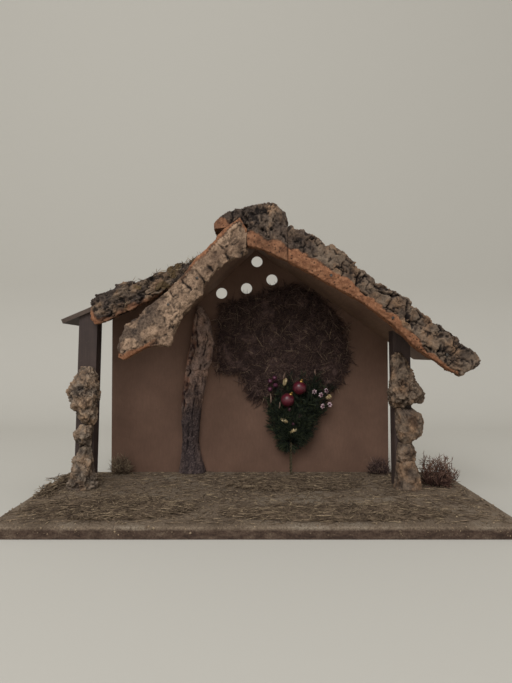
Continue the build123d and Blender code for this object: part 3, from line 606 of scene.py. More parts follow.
def left_roof_cut(points, normals):
    """The cut lower tip of the left roof's bark, and a thin line along its lower edge."""
    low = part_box("left_roof_bark")[0]
    ragged = fractal(points, 9 * mm, 97, 3) * 3.0 * mm
    tip = 1 - smooth_step(9 * mm, 13 * mm, points[:, 0] - low[0] + (points[:, 2] - low[2]) * 0.9 + ragged)
    below = points[:, 2] - left_under(points[:, 0]) + 13 * mm - ragged
    edge = (1 - smooth_step(-2.0 * mm, 1.0 * mm, below)) * 0.7
    return np.clip(tip + edge, 0, 1) * smooth_step(0.4, 0.0, normals[:, 1])


def left_roof_char(points, normals):
    """Dark crust along the crest."""
    above = smooth_step(0 * mm, 9 * mm, points[:, 2] - left_under(points[:, 0]))
    return smooth_step(-0.2, 0.3, fractal(points, 14 * mm, 98, 5) + above * 0.8 - 0.15)


def left_roof_moss(points, normals):
    """Moss over the upper end, beside the strip."""
    share = smooth_step(-125 * mm, -55 * mm, points[:, 0])
    return smooth_step(0.0, 0.4, fractal(points, 11 * mm, 99, 4) + share - 0.7)


def all_over(strength):
    return lambda points, normals: np.full(len(points), strength)


def pillar_cut(points, normals):
    """The cut left edge, in its middle stretch."""
    low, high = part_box("pillar_bark_lower")
    middle = smooth_step(0.5, 0.7, (points[:, 2] - low[2]) / (high[2] - low[2]))
    return smooth_step(0.1, 0.6, -normals[:, 0] + fractal(points, 9 * mm, 90, 3) * 0.5 - 0.35) * middle * 0.6


def pillar_char(points, normals):
    """Dark stain, heavier towards the foot."""
    low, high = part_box("pillar_bark_lower")
    lower = 1 - smooth_step(0.4, 1.0, (points[:, 2] - low[2]) / (high[2] - low[2]))
    return np.clip(lower * 0.95 + fractal(points, 12 * mm, 87, 3) * 0.3, 0, 1)


# Where the sawn edge of the right roof's bark ends: X and height above the board's underside, in mm
right_cut_line = [
    (-8, -7), (15, -1), (29, 2), (45, 6), (60, 9.5), (84, 8),
    (112, 5.5), (132, 2), (145, -4), (176, -6), (182, -12),
]

# Cracks seen in the photograph, as lines of X and Z in mm
right_splits = [
    [(133, 183), (131.5, 170), (130.7, 162.4), (141.8, 163.3)],
    [(138, 178), (133, 172)],
    [(108, 190), (114, 187.7), (120.5, 186), (126.6, 186.9)],
    [(92, 209), (90.2, 200.6), (86.7, 193.5), (88.4, 191.7), (96.4, 186)],
    [(158.5, 138), (166.6, 138.4), (174.6, 140.2), (180, 137.7)],
    [(147.2, 142.1), (153.3, 139.5)],
    [(158.5, 162.5), (163.7, 156)],
]
ridge_splits = [
    [(-12, 266), (-9, 260), (-10, 253)],
    [(3, 268), (6, 261), (4, 252), (7, 246)],
    [(17, 262), (15, 254), (18, 246)],
]
strip_splits = [
    [(-65.3, 201.3), (-61, 197.5), (-57.5, 191.4)],
    [(-54, 209.3), (-49, 203), (-43, 195.6)],
    [(-46, 216.3), (-38.5, 207.5)],
    [(-32, 231.4), (-27.5, 226), (-24, 219)],
    [(-76, 190), (-72, 184)],
]
pillar_splits = [
    [(-57, 132), (-60, 112), (-65, 96), (-67, 71), (-66, 40)],
    [(-69, 132), (-72, 110), (-76, 93), (-77, 66)],
    [(-54, 168), (-51, 151), (-55, 135)],
    [(-62.5, 179), (-63.5, 160), (-62, 143)],
    [(-72, 60), (-71, 44), (-74, 28)],
]

roof_boards = ["right_roof_board", "inner_roof_board", "left_roof_board"]
# Bark on the right post, unlike the left's: plate size and depth in mm, how crumbled it is, and its material
post_bark_kinds = {
    "right_post_bark_upper": (11, 4.8, 1.0, bark),
    "right_post_bark_middle": (16, 3.6, 0.45, bark),
    "right_post_bark_lower": (16, 3.6, 0.45, bark),
    "right_post_bark_foot": (16, 3.6, 0.45, bark),
}
bark_piece(
    "right_barge_bark", roof_boards + ["ridge_bark"], 0.75 * mm, 21 * mm, 3.8 * mm, 3, lean=-34,
    stretch=(1.4, 1.0, 0.75), splits=right_splits, cut=right_barge_cut, char=right_barge_char,
)
bark_piece(
    "ridge_bark", roof_boards + ["right_barge_bark"], 0.75 * mm, 15 * mm, 3.4 * mm, 17,
    stretch=(0.8, 0.9, 1.6), splits=ridge_splits, cut=ridge_cut, char=ridge_char,
)
bark_piece(
    "left_barge_bark", roof_boards, 0.7 * mm, 22 * mm, 2.2 * mm, 29, 0.55, 0.9, lean=43,
    stretch=(1.6, 1.0, 0.8), splits=strip_splits, ragged=1.1, cut=strip_cut, char=strip_char,
    warm=all_over(0.95),
)
bark_piece(
    "left_roof_bark", roof_boards, 0.8 * mm, 13 * mm, 4.2 * mm, 43, 1.0, 1.25, lean=23,
    stretch=(1.6, 1.2, 0.7), cut=left_roof_cut, char=left_roof_char, moss=left_roof_moss,
)
for seed, node in enumerate(sorted(nodes)):
    if node.startswith(("left_post_bark", "right_post_bark")):
        plate, depth, worn, material = post_bark_kinds.get(node, (11, 4.2, 1.0, pale_bark))
        bark_piece(
            node, ["left_post", "right_post", "base_board"], 0.75 * mm, plate * mm, depth * mm, 57 + seed,
            worn * 0.5, worn, stretch=(0.85, 0.85, 1.2), material=material,
        )
    elif node.startswith("pillar_bark"):
        bark_piece(
            node, ["back_panel", "base_board"], 0.75 * mm, 17 * mm, 2.0 * mm, 161, 0.5, 0.8,
            stretch=(0.5, 0.7, 2.6), splits=pillar_splits, material=pillar_bark, cut=pillar_cut,
            char=pillar_char, warm=all_over(0.35),
        )


# Fibres

def sample(node, count, draw, facing=None):
    """Points spread evenly over a node's faces, with their normals, on the side that faces one way."""
    mesh = nodes[node].data
    mesh.calc_loop_triangles()
    points = coordinates(mesh)
    corners = points[np.array([t.vertices[:] for t in mesh.loop_triangles])]
    crossed = np.cross(corners[:, 1] - corners[:, 0], corners[:, 2] - corners[:, 0])
    area = np.linalg.norm(crossed, axis=1)
    normals = crossed / np.maximum(area, 1e-15)[:, None]
    if facing is not None:
        area = area * (normals @ np.array(facing) > 0.35)
    chosen = draw.choice(len(area), count, p=area / area.sum())
    a, b = draw.random(count), draw.random(count)
    over = a + b > 1
    a, b = np.where(over, 1 - a, a), np.where(over, 1 - b, b)
    first, second, third = (corners[chosen, i] for i in range(3))
    return first + (second - first) * a[:, None] + (third - first) * b[:, None], normals[chosen]


def unit(vectors):
    return vectors / np.maximum(np.linalg.norm(vectors, axis=1), 1e-9)[:, None]


def fibre_mesh(name, roots, ways, bends, widths, tints, rings=3, blunt=0.5):
    """Three-sided fibres, each bending from its root along its way and drawn out to a point at both ends."""
    count = len(roots)
    along = np.linspace(0, 1, rings + 2)
    lines = roots[:, None] + ways[:, None] * along[None, :, None] + bends[:, None] * (along**2)[None, :, None]
    ahead = unit(ways + bends * 0.5)
    aside = unit(np.cross(ahead, np.roll(ahead, 1, axis=1) + 0.3))
    across = np.cross(ahead, aside)
    girth = (np.sin(np.pi * along) ** blunt)[1:-1]
    turns = 2 * np.pi * np.arange(3) / 3
    spokes = aside[:, None] * np.cos(turns)[None, :, None] + across[:, None] * np.sin(turns)[None, :, None]
    tubes = lines[:, 1:-1, None] + spokes[:, None] * (widths[:, None] / 2 * girth)[:, :, None, None]
    points = np.concatenate([lines[:, :1], tubes.reshape(count, -1, 3), lines[:, -1:]], axis=1)
    last = 3 * rings + 1
    pattern = []
    for i in range(3):
        j = (i + 1) % 3
        pattern.append((0, 1 + j, 1 + i, 1 + i))
        pattern.append((last, last - 3 + i, last - 3 + j, last - 3 + j))
        for k in range(rings - 1):
            low = 1 + 3 * k
            pattern.append((low + i, low + j, low + 3 + j, low + 3 + i))
    faces = (np.arange(count)[:, None, None] * (last + 1) + np.array(pattern)[None]).reshape(-1, 4)
    mesh = bpy.data.meshes.new(name)
    mesh.from_pydata(
        points.reshape(-1, 3).tolist(), [], [f[:3] if f[2] == f[3] else f for f in faces.tolist()]
    )
    add_attribute(mesh, "tint", np.repeat(tints, last + 1))
    return mesh


def scattered(count, draw, lengths, tilt, flat_axes):
    """Ways in all directions of a plane, with a little tilt out of it."""
    angle = draw.uniform(0, 2 * np.pi, count)
    ways = np.zeros((count, 3))
    ways[:, flat_axes[0]] = np.cos(angle)
    ways[:, flat_axes[1]] = np.sin(angle)
    lift = 3 - flat_axes[0] - flat_axes[1]
    ways[:, lift] = draw.normal(0, tilt, count)
    return unit(ways) * draw.uniform(*lengths, count)[:, None]


def drawn_in(points):
    """Points of the wall moss moved in from its right and lower right edges, where the mat is thin."""
    low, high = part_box("wall_moss")
    right = smooth_step((low[0] + high[0]) / 2, high[0], points[:, 0])
    lower = 1 - smooth_step(low[2], (low[2] + high[2]) / 2, points[:, 2])
    return points + np.stack([-7 * mm * right, 0 * right, 12 * mm * right * lower], axis=1)


def underlay(node, voxel, depth, seed, material, ragged=0.0):
    """The matted base of a moss patch, lumpy in front and, on the wall, ragged at its edge."""
    mesh = remeshed(node, voxel, 3)
    points = coordinates(mesh)
    normals = vertex_normals(mesh)
    lumps = fractal(points, 9 * mm, seed, 4) - 0.6
    moved = points + normals * (lumps * depth)[:, None]
    if ragged:
        moved += normals * [1, 0, 1] * (fractal(points, 16 * mm, seed + 5, 4) * ragged)[:, None]
        moved = drawn_in(moved)
    set_coordinates(mesh, moved)
    add_attribute(mesh, "tint", np.clip(0.25 + fractal(points, 4 * mm, seed + 3, 3) * 0.3, 0, 1))
    return add_piece(node + "_mat", mesh, material, [node])


def make_wall_moss():
    draw = np.random.default_rng(seeds["wall"])
    underlay("wall_moss", 1.5 * mm, 2.5 * mm, seeds["wall"], wall_finish, 4 * mm)
    count = 9000
    roots, _ = sample("wall_moss", count, draw, (0, -1, 0))
    roots = drawn_in(roots) + draw.normal(0, 2.6 * mm, (count, 3)) * [1, 0, 1]
    roots[:, 1] += draw.uniform(-1.5, 2.5, count) * mm
    ways = scattered(count, draw, (4 * mm, 14 * mm), 0.3, (0, 2))
    roots -= ways / 2
    bends = draw.normal(0, 4.0 * mm, (count, 3)) * [1, 0.4, 1]
    widths = draw.uniform(0.35, 0.85, count) * mm
    mesh = fibre_mesh("wall_moss_fibres", roots, ways, bends, widths, draw.random(count) ** 1.8)
    add_piece("wall_moss_fibres", mesh, wall_finish)


def make_floor_moss():
    draw = np.random.default_rng(seeds["floor"])
    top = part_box("base_board")[1][2]
    for node, count in [("floor_moss_left", 2200), ("floor_moss_front", 1500), ("floor_moss_rear", 1300)]:
        underlay(node, 1.3 * mm, 1.6 * mm, seeds["floor"], moss_finish)
        roots, _ = sample(node, count, draw, (0, 0, 1))
        roots[:, 2] = top + draw.uniform(1.0, 4.0, count) * mm
        ways = scattered(count, draw, (3 * mm, 13 * mm), 0.14, (0, 1))
        roots -= ways / 2
        bends = draw.normal(0, 5.0 * mm, (count, 3)) * [1, 1, 0.12]
        widths = draw.uniform(0.35, 0.8, count) * mm
        mesh = fibre_mesh(node + "_fibres", roots, ways, bends, widths, draw.random(count) ** 1.3)
        add_piece(node + "_fibres", mesh, moss_finish)


def make_litter():
    """Loose straw and crumbs glued over the whole base board."""
    draw = np.random.default_rng(seeds["litter"])
    low, high = (np.array(c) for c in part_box("base_board"))
    count = 5200
    roots = draw.uniform(low, high, (count, 3))
    roots[:, 2] = high[2] + draw.uniform(0.0, 0.9, count) * mm
    ways = scattered(count, draw, (3 * mm, 14 * mm), 0.04, (0, 1))
    bends = draw.normal(0, 2.5 * mm, (count, 3)) * [1, 1, 0.05]
    ends = roots + ways + bends
    margin = 4 * mm
    inside = np.ones(count, bool)
    for place in (roots, ends):
        inside &= np.all((place[:, :2] > low[:2] + margin) & (place[:, :2] < high[:2] - margin), axis=1)
    widths = draw.uniform(0.3, 0.9, count) * mm
    tints = draw.random(count) ** 1.2
    mesh = fibre_mesh(
        "base_litter", roots[inside], ways[inside], bends[inside], widths[inside], tints[inside], 2
    )
    add_piece("base_litter", mesh, moss_finish)


def make_rim_straw():
    """Straw heaped along the left rim of the base board."""
    draw = np.random.default_rng(seeds["litter"] + 1)
    low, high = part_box("base_board")
    count = 520
    y = draw.uniform(-8, 62, count) * mm
    heap = 0.35 + 0.65 * np.sin(np.clip((y + 8 * mm) / (70 * mm), 0, 1) * np.pi)
    x = low[0] + 6 * mm + np.abs(draw.normal(0, 6 * mm, count))
    z = high[2] + draw.random(count) ** 1.5 * 7.5 * mm * heap
    ways = scattered(count, draw, (7 * mm, 20 * mm), 0.12, (0, 1)) * [0.5, 1, 1]
    roots = np.stack([x, y, z], axis=1) - ways * [0, 0.5, 0]
    bends = draw.normal(0, 4.0 * mm, (count, 3)) * [0.6, 1, 0.15]
    widths = draw.uniform(0.4, 0.9, count) * mm
    mesh = fibre_mesh("rim_straw", roots, ways, bends, widths, draw.random(count))
    add_piece("rim_straw", mesh, moss_finish)


def make_clump(node, count, lengths, material, seed):
    """A tuft of fibres that spring from the foot of a node and fill its shape."""
    draw = np.random.default_rng(seed)
    low, high = (np.array(c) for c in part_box(node))
    tips, _ = sample(node, count, draw)
    foot = (low + high) / 2 + (tips - (low + high) / 2) * [0.55, 0.55, 0]
    foot[:, 2] = low[2]
    middles = foot + (tips - foot) * draw.uniform(0.25, 0.75, count)[:, None]
    sway = draw.normal(0, 1, (count, 3))
    ways = unit(unit(tips - foot) + sway * 0.6) * draw.uniform(*lengths, count)[:, None]
    bends = draw.normal(0, 2.5 * mm, (count, 3))
    roots = np.maximum(middles - ways / 2, [-np.inf, -np.inf, low[2] + 0.3 * mm])
    widths = draw.uniform(0.35, 0.8, count) * mm
    mesh = fibre_mesh(node + "_fibres", roots, ways, bends, widths, draw.random(count) ** 1.2)
    add_piece(node + "_fibres", mesh, material, [node])


def make_lichen():
    """A dried, forking lichen: stems that divide again and again."""
    draw = np.random.default_rng(seeds["lichen"])
    low, high = (np.array(c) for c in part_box("lichen_tuft"))
    centre = (low + high) / 2
    half = (high - low) / 2
    stems = 84
    angle = draw.uniform(0, 2 * np.pi, stems)
    reach = np.sqrt(draw.random(stems))
    roots = np.tile([centre[0], centre[1], low[2]], (stems, 1))
    roots[:, 0] += half[0] * 0.65 * reach * np.cos(angle)
    roots[:, 1] += half[1] * 0.65 * reach * np.sin(angle)
    lean = np.stack([np.cos(angle) * reach, np.sin(angle) * reach, np.full(stems, 1.1)], axis=1)
    tall = (0.12 + 0.38 * draw.random(stems) ** 1.6) * (high[2] - low[2])
    ways = unit(lean + draw.normal(0, 0.25, (stems, 3))) * tall[:, None]
    width = 1.3 * mm
    parts = []
    for level in range(4):
        bends = draw.normal(0, 1.6 * mm, (len(roots), 3))
        widths, tints = np.full(len(roots), width), np.full(len(roots), 0.2 + 0.22 * level)
        parts.append((roots, ways, bends, widths, tints))
        tips = roots + ways + bends
        heading = unit(ways + bends)
        forks = 2 if level < 2 else 3
        roots = np.repeat(tips - heading * 0.6 * mm, forks, axis=0)
        ways = unit(np.repeat(heading, forks, axis=0) + draw.normal(0, 0.6, (len(roots), 3)))
        ways = ways * draw.uniform(4.0, 8.5, len(roots))[:, None] * mm * (1 - 0.13 * level)
        width *= 0.72
        inside = np.all(np.abs(roots + ways - centre) < half * 1.02, axis=1)
        roots, ways = roots[inside], ways[inside]
    roots, ways, bends, widths, tints = (np.concatenate(column) for column in zip(*parts))
    tints = np.clip(tints + draw.normal(0, 0.12, len(tints)), 0, 1)
    mesh = fibre_mesh("lichen_branches", roots, ways, bends, widths, tints, 3, 0.3)
    add_piece("lichen_branches", mesh, lichen_finish, ["lichen_tuft"])


def make_roof_wisps():
    """Moss and straw caught between the strip and the left roof's bark."""
    draw = np.random.default_rng(seeds["roof"])
    count = 3600
    roots, _ = sample("left_roof_bark", count, draw, (0, -0.45, 0.9))
    low, high = (c[0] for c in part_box("left_roof_bark"))
    share = (roots[:, 0] - low) / (high - low)
    kept = draw.random(count) < share**2.2
    roots = roots[kept]
    count = len(roots)
    ways = unit(draw.normal(0, 1, (count, 3)) * [1, 1, 0.45]) * draw.uniform(2.5, 8, count)[:, None] * mm
    ways[:, 2] += ways[:, 0] * 0.41
    bends = draw.normal(0, 1.5 * mm, (count, 3))
    widths = draw.uniform(0.3, 0.7, count) * mm
    mesh = fibre_mesh("roof_wisps", roots, ways, bends, widths, draw.random(count))
    add_piece("roof_wisps", mesh, moss_finish)


def make_grains():
    """Crumbs of bark and sawdust stuck to the base board's top and edges."""
    draw = np.random.default_rng(seeds["grains"])
    count = 9000
    roots, normals = sample("base_board", count, draw)
    roots = roots[(normals[:, 2] > -0.5) & (roots[:, 2] > 2.2 * mm)]
    count = len(roots)
    corners = np.array([(1, 0, 0), (-1, 0, 0), (0, 1, 0), (0, -1, 0), (0, 0, 1), (0, 0, -1)], float)
    sides = [(0, 2, 4), (2, 1, 4), (1, 3, 4), (3, 0, 4), (2, 0, 5), (1, 2, 5), (3, 1, 5), (0, 3, 5)]
    sizes = draw.uniform(0.3, 0.9, count) * mm * (0.6 + draw.random(count) ** 3)
    shapes = corners[None] * sizes[:, None, None] * draw.uniform(0.5, 1.3, (count, 6, 1))
    shapes += draw.normal(0, 0.2, (count, 6, 3)) * sizes[:, None, None]
    points = roots[:, None] + shapes
    faces = (np.arange(count)[:, None, None] * 6 + np.array(sides)[None]).reshape(-1, 3)
    mesh = bpy.data.meshes.new("base_grains")
    mesh.from_pydata(points.reshape(-1, 3).tolist(), [], faces.tolist())
    add_attribute(mesh, "tint", np.repeat(draw.random(count), 6))
    add_piece("base_grains", mesh, moss_finish)


make_wall_moss()
make_floor_moss()
make_litter()
make_rim_straw()
make_grains()
make_roof_wisps()
make_clump("left_moss_clump", 420, (5 * mm, 14 * mm), moss_finish, seeds["clump"])
make_clump("right_moss_clump", 420, (4 * mm, 11 * mm), wall_finish, seeds["clump"] + 1)
make_lichen()


# Sprig

def shells(node):
    """The middle and radius of each separate ball in a node."""
    work = bmesh.new()
    work.from_mesh(nodes[node].data)
    bmesh.ops.remove_doubles(work, verts=work.verts, dist=0.01 * mm)
    waiting = set(work.verts)
    found = []
    while waiting:
        stack = [waiting.pop()]
        group = []
        while stack:
            vertex = stack.pop()
            group.append(vertex.co[:])
            for edge in vertex.link_edges:
                other = edge.other_vert(vertex)
                if other in waiting:
                    waiting.remove(other)
                    stack.append(other)
        low, high = np.min(group, axis=0), np.max(group, axis=0)
        found.append(((low + high) / 2, (high - low).max() / 2))
    work.free()
    return sorted(found, key=lambda ball: tuple(ball[0]))


class Build:
    """A mesh put together from turned and swept shapes."""

    def __init__(self):
        self.points = []
        self.faces = []
        self.tints = []

    def grid(self, rows, tint, closed):
        """A sheet of rows of points, closed around where each row is a ring."""
        start = len(self.points)
        width = len(rows[0])
        for row in rows:
            self.points += [tuple(p) for p in row]
            self.tints += [tint] * width
        for i in range(len(rows) - 1):
            for j in range(width if closed else width - 1):
                k = (j + 1) % width
                low, high = start + i * width, start + (i + 1) * width
                self.faces.append((low + j, low + k, high + k, high + j))
        return start, width

    def turned(self, centre, axis, radius, profile, tint, sides=20):
        """A profile of radius and height shares turned about an axis, closed at both ends."""
        axis = np.array(axis, float) / np.linalg.norm(axis)
        aside = np.cross(axis, (0.3, 0.5, 0.8))
        aside /= np.linalg.norm(aside)
        across = np.cross(axis, aside)
        turns = 2 * np.pi * np.arange(sides) / sides
        ring = aside[None] * np.cos(turns)[:, None] + across[None] * np.sin(turns)[:, None]
        rows = [np.array(centre) + ring * r * radius + axis * h * radius for r, h in profile]
        start, width = self.grid(rows, tint, True)
        last = start + width * (len(rows) - 1)
        self.faces.append(tuple(start + j for j in reversed(range(width))))
        self.faces.append(tuple(last + j for j in range(width)))

    def tube(self, line, radius, tint, sides=6):
        """A round wire along a line of points."""
        line = np.array(line, float)
        ahead = unit(np.gradient(line, axis=0))
        aside = unit(np.cross(ahead, (0.31, 0.52, 0.79)))
        across = np.cross(ahead, aside)
        turns = 2 * np.pi * np.arange(sides) / sides
        rows = [
            p + radius * (a[None] * np.cos(turns)[:, None] + c[None] * np.sin(turns)[:, None])
            for p, a, c in zip(line, aside, across)
        ]
        start, width = self.grid(rows, tint, True)
        last = start + width * (len(rows) - 1)
        self.faces.append(tuple(start + j for j in reversed(range(width))))
        self.faces.append(tuple(last + j for j in range(width)))

    def mesh(self, name):
        mesh = bpy.data.meshes.new(name)
        mesh.from_pydata(self.points, [], self.faces)
        add_attribute(mesh, "tint", self.tints)
        return mesh


def arc_profile(low, high, steps):
    """Radius and height shares of a ball between two latitudes in degrees."""
    angles = [math.radians(low + (high - low) * i / steps) for i in range(steps + 1)]
    return [(math.cos(a), math.sin(a)) for a in angles]


ball = arc_profile(-88, 88, 16)
berry_profile = arc_profile(-88, 68, 12) + [(0.3, 1.0), (0.26, 1.14), (0.1, 1.2), (0.02, 1.08)]
petal_profile = [(0.8 * r, 1.3 * h) for r, h in arc_profile(-88, 88, 8)]
blossom_petals = 6
bud_axes = [(0.85, -0.35, -0.45), (0.2, -0.5, 1.0), (0.75, -0.35, 0.6), (0.3, -0.9, 0.4)]
cap_profile = [(0.05, 0.9), (0.3, 0.94), (0.31, 1.06), (0.25, 1.09), (0.24, 1.17), (0.05, 1.2)]


def make_foliage():
    """Twigs that fan out from the stem, set with needles."""
    draw = np.random.default_rng(seeds["sprig"])
    low, high = (np.array(c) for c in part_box("sprig_stem"))
    stem_top = np.array([(low[0] + high[0]) / 2, (low[1] + high[1]) / 2, high[2] - 8 * mm])
    twigs, needles = 190, 34
    tips, _ = sample("sprig_foliage", twigs, draw)
    tips = stem_top + (tips - stem_top) * draw.uniform(0.75, 1.0, twigs)[:, None]
    starts = np.tile(stem_top, (twigs, 1)) + draw.normal(0, 1.0 * mm, (twigs, 3))
    bends = draw.normal(0, 4.0 * mm, (twigs, 3)) * [1, 0.3, 1]
    ways = tips - starts - bends
    along = np.sqrt(draw.uniform(0.1, 1.0, (twigs, needles)))[:, :, None]
    roots = (starts[:, None] + ways[:, None] * along + bends[:, None] * along**2).reshape(-1, 3)
    heading = np.repeat(unit(ways + bends), needles, axis=0)
    count = twigs * needles
    spread = draw.normal(0, 1, (count, 3))
    spines = unit(heading * 0.75 + unit(spread) * 0.75) * draw.uniform(5, 10, count)[:, None] * mm
    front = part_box("sprig_foliage")[0][1] - 3 * mm
    spines[:, 1] = np.maximum(spines[:, 1], front - roots[:, 1])
    droop = draw.normal(0, 0.8 * mm, (count, 3))
    parts = (
        np.concatenate([starts, roots]), np.concatenate([ways, spines]), np.concatenate([bends, droop]),
        np.concatenate([np.full(twigs, 1.2 * mm), draw.uniform(0.5, 0.85, count) * mm]),
        np.concatenate([np.zeros(twigs), draw.random(count)]),
    )
    mesh = fibre_mesh("sprig_needles", *parts)
    add_piece("sprig_needles", mesh, green_finish, ["sprig_foliage"])


def make_leaves():
    """A few dry leaves in the sprig."""
    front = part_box("sprig_foliage")[0][1] - 1 * mm
    roots = np.array([(15, 0, 83), (28, 0, 108), (23.5, 0, 78), (62, 0, 112)]) * mm
    roots[:, 1] = front
    ways = np.array([(2.5, -1, 11), (1.5, -1, 9), (3, -1, 8), (-3, -1, 9)]) * mm
    bends = np.array([(-3, 0, 1), (1, 0, 0), (-2, 0, 0), (2, 0, -1)]) * mm
    mesh = fibre_mesh("sprig_leaves", roots, ways, bends, np.full(4, 2.0 * mm), np.full(4, 0.9), 5, 0.8)
    add_piece("sprig_leaves", mesh, wall_finish)


def make_stem():
    """Two wires twisted together."""
    low, high = (np.array(c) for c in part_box("sprig_stem"))
    middle = (low + high) / 2
    half = (high[0] - low[0]) / 2
    build = Build()
    steps, twists = 80, 6
    for side in (0, math.pi):
        line = []
        for i in range(steps + 1):
            angle = side + 2 * math.pi * twists * i / steps
            line.append((
                middle[0] + half * 0.5 * math.cos(angle),
                middle[1] + half * 0.5 * math.sin(angle),
                low[2] + (high[2] - low[2]) * i / steps,
            ))
        build.tube(line, half * 0.5, 0.5, 8)
    add_piece("sprig_wires", build.mesh("sprig_wires"), stem_finish, ["sprig_stem"])


def make_baubles():
    """Lacquered balls with a crimped cap and a wire loop, tilted each its own way."""
    draw = np.random.default_rng(seeds["sprig"] + 1)
    balls, caps = Build(), Build()
    for centre, radius in shells("sprig_baubles"):
        axis = np.array((draw.normal(0, 0.3), -0.25, 1.0))
        axis /= np.linalg.norm(axis)
        balls.turned(centre, axis, radius, ball, 0.5, 36)
        caps.turned(centre, axis, radius, cap_profile, 0.5, 16)
        loop = []
        for i in range(13):
            angle = math.pi * i / 12
            above = axis * (1.16 + 0.2 * math.sin(angle)) + np.array((0.14 * math.cos(angle), 0, 0))
            loop.append(centre + above * radius)
        caps.tube(loop, radius * 0.035, 0.5)
    add_piece("sprig_bauble_balls", balls.mesh("sprig_bauble_balls"), crimson, ["sprig_baubles"])
    add_piece("sprig_bauble_caps", caps.mesh("sprig_bauble_caps"), gold)


def make_berries():
    """Berries with a crowned tip, each on a bent wire from the foliage."""
    draw = np.random.default_rng(seeds["sprig"] + 2)
    berries, wires = Build(), Build()
    for centre, radius in shells("sprig_berries"):
        axis = np.array((draw.normal(0, 0.5), -0.8, draw.normal(0.3, 0.4)))
        axis /= np.linalg.norm(axis)
        berries.turned(centre, axis, radius, berry_profile, 0.5)
        back = centre - axis * radius * 0.9
        sag = np.array((draw.normal(0, 1.5), 0, -2.0)) * mm
        root = centre + np.array((0, radius * 2.4, -radius * 1.6))
        wires.tube([back, (back + root) / 2 + sag * 0.3, root], 0.3 * mm, 0.5)
    add_piece("sprig_berry_heads", berries.mesh("sprig_berry_heads"), purple, ["sprig_berries"])
    add_piece("sprig_berry_wires", wires.mesh("sprig_berry_wires"), stem_finish)


def make_beads():
    """Pearly blossoms: a ring of petals round a dark heart, on a short wire."""
    draw = np.random.default_rng(seeds["sprig"] + 3)
    petals, hearts = Build(), Build()
    for centre, radius in shells("sprig_beads"):
        axis = np.array((draw.normal(0, 0.4), -1.0, draw.normal(0.1, 0.4)))
        axis /= np.linalg.norm(axis)
        aside = np.cross(axis, (0.3, 0.5, 0.8))
        aside /= np.linalg.norm(aside)
        across = np.cross(axis, aside)
        for i in range(blossom_petals):
            angle = 2 * math.pi * (i + draw.uniform(-0.2, 0.2)) / blossom_petals
            out = aside * math.cos(angle) + across * math.sin(angle)
            petals.turned(centre + out * radius * 0.55, out + axis * 0.5, radius * 0.4, petal_profile, 0.5, 12)
        hearts.turned(centre + axis * radius * 0.2, axis, radius * 0.4, ball, 0.5, 12)
        root = centre - axis * radius * 1.6 - [0, 0, radius * 0.4]
        hearts.tube([centre, (centre + root) / 2, root], 0.3 * mm, 0.5)
    add_piece("sprig_blossoms", petals.mesh("sprig_blossoms"), pearl, ["sprig_beads"])
    add_piece("sprig_blossom_hearts", hearts.mesh("sprig_blossom_hearts"), purple)


def make_buds():
    """Rolled buds: a long petal wound round itself twice, each bud lying its own way."""
    build = Build()
    thick, steps, turns = 0.06, 48, 2.2
    for (centre, radius), axis in zip(shells("sprig_buds"), bud_axes):
        axis = np.array(axis) / np.linalg.norm(axis)
        aside = np.cross(axis, (0.3, 0.5, 0.8))
        aside /= np.linalg.norm(aside)
        across = np.cross(axis, aside)
        rows = []
        for i in range(steps + 1):
            share = i / steps
            angle = 2 * math.pi * turns * share
            out = aside * math.cos(angle) + across * math.sin(angle)
            girth = 0.12 + 0.58 * share
            lip = 1.3 - 0.6 * share + 0.08 * math.sin(3 * angle)
            spine = [(0.45 * girth, -1.25), (0.95 * girth, -0.6), (girth, 0.3), (0.96 * girth + 0.05, lip)]
            outer = [centre + radius * (out * r + axis * h) for r, h in spine]
            inner = [centre + radius * (out * max(r - thick, 0.02) + axis * h) for r, h in reversed(spine)]
            rows.append(outer + inner)
        start, width = build.grid(rows, 0.5, True)
        last = start + width * steps
        build.faces.append(tuple(start + j for j in reversed(range(width))))
        build.faces.append(tuple(last + j for j in range(width)))
    add_piece("sprig_bud_petals", build.mesh("sprig_bud_petals"), cream, ["sprig_buds"])


make_foliage()
make_leaves()
make_stem()
make_baubles()
make_berries()
make_beads()
make_buds()


# Floor, light and camera

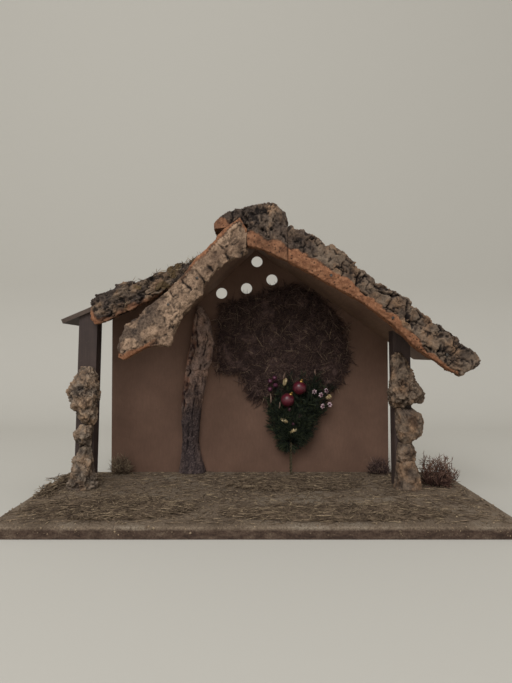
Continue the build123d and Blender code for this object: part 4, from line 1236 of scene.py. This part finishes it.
def make_stage():
    shader = Shader("stage")
    shader.set(Base_Color=srgb(182, 179, 171), Roughness=0.8)
    sweep = bpy.data.meshes.new("stage_sweep")
    half, near, far, bend, top, steps = 9.0, -9.0, 0.75, 0.3, 2.2, 12
    profile = [(near, 0.0)]
    for i in range(steps + 1):
        angle = math.pi / 2 * i / steps
        profile.append((far - bend + bend * math.sin(angle), bend - bend * math.cos(angle)))
    profile.append((far, top))
    points = [(x, y, z) for y, z in profile for x in (-half, half)]
    faces = [(2 * i, 2 * i + 1, 2 * i + 3, 2 * i + 2) for i in range(len(profile) - 1)]
    sweep.from_pydata(points, [], faces)
    sweep.shade_smooth()
    sweep.materials.append(shader.material)
    floor = bpy.data.objects.new("stage_floor", sweep)
    bpy.context.scene.collection.objects.link(floor)


def add_lamp(name, place, target, size, power):
    lamp = bpy.data.lights.new(name, "AREA")
    lamp.size = size
    lamp.energy = power
    holder = bpy.data.objects.new(name, lamp)
    holder.location = place
    way = [b - a for a, b in zip(place, target)]
    holder.rotation_euler = (
        math.atan2(math.hypot(way[0], way[1]), -way[2]),
        0,
        math.atan2(-way[0], way[1]),
    )
    bpy.context.scene.collection.objects.link(holder)


def make_light():
    world = bpy.data.worlds.new("studio")
    world.use_nodes = True
    background = world.node_tree.nodes["Background"]
    background.inputs["Color"].default_value = (1, 0.985, 0.96, 1)
    background.inputs["Strength"].default_value = 0.75
    bpy.context.scene.world = world
    add_lamp("key", (-0.45, -1.25, 1.35), (0, 0, 0.12), 1.0, 19)
    add_lamp("fill", (1.2, -1.2, 0.6), (0, 0, 0.12), 1.0, 1.0)


def make_camera():
    camera = bpy.data.cameras.new("camera")
    camera.sensor_fit = "VERTICAL"
    camera.sensor_height = sensor_height
    camera.lens = sensor_height * focal_pixels / image_height
    camera.clip_start = 10 * mm
    holder = bpy.data.objects.new("camera", camera)
    holder.location = eye
    holder.rotation_euler = (math.pi / 2 + look_up, 0, 0)
    bpy.context.scene.collection.objects.link(holder)
    bpy.context.scene.camera = holder


make_stage()
make_light()
make_camera()
bpy.context.scene.view_settings.view_transform = "Standard"
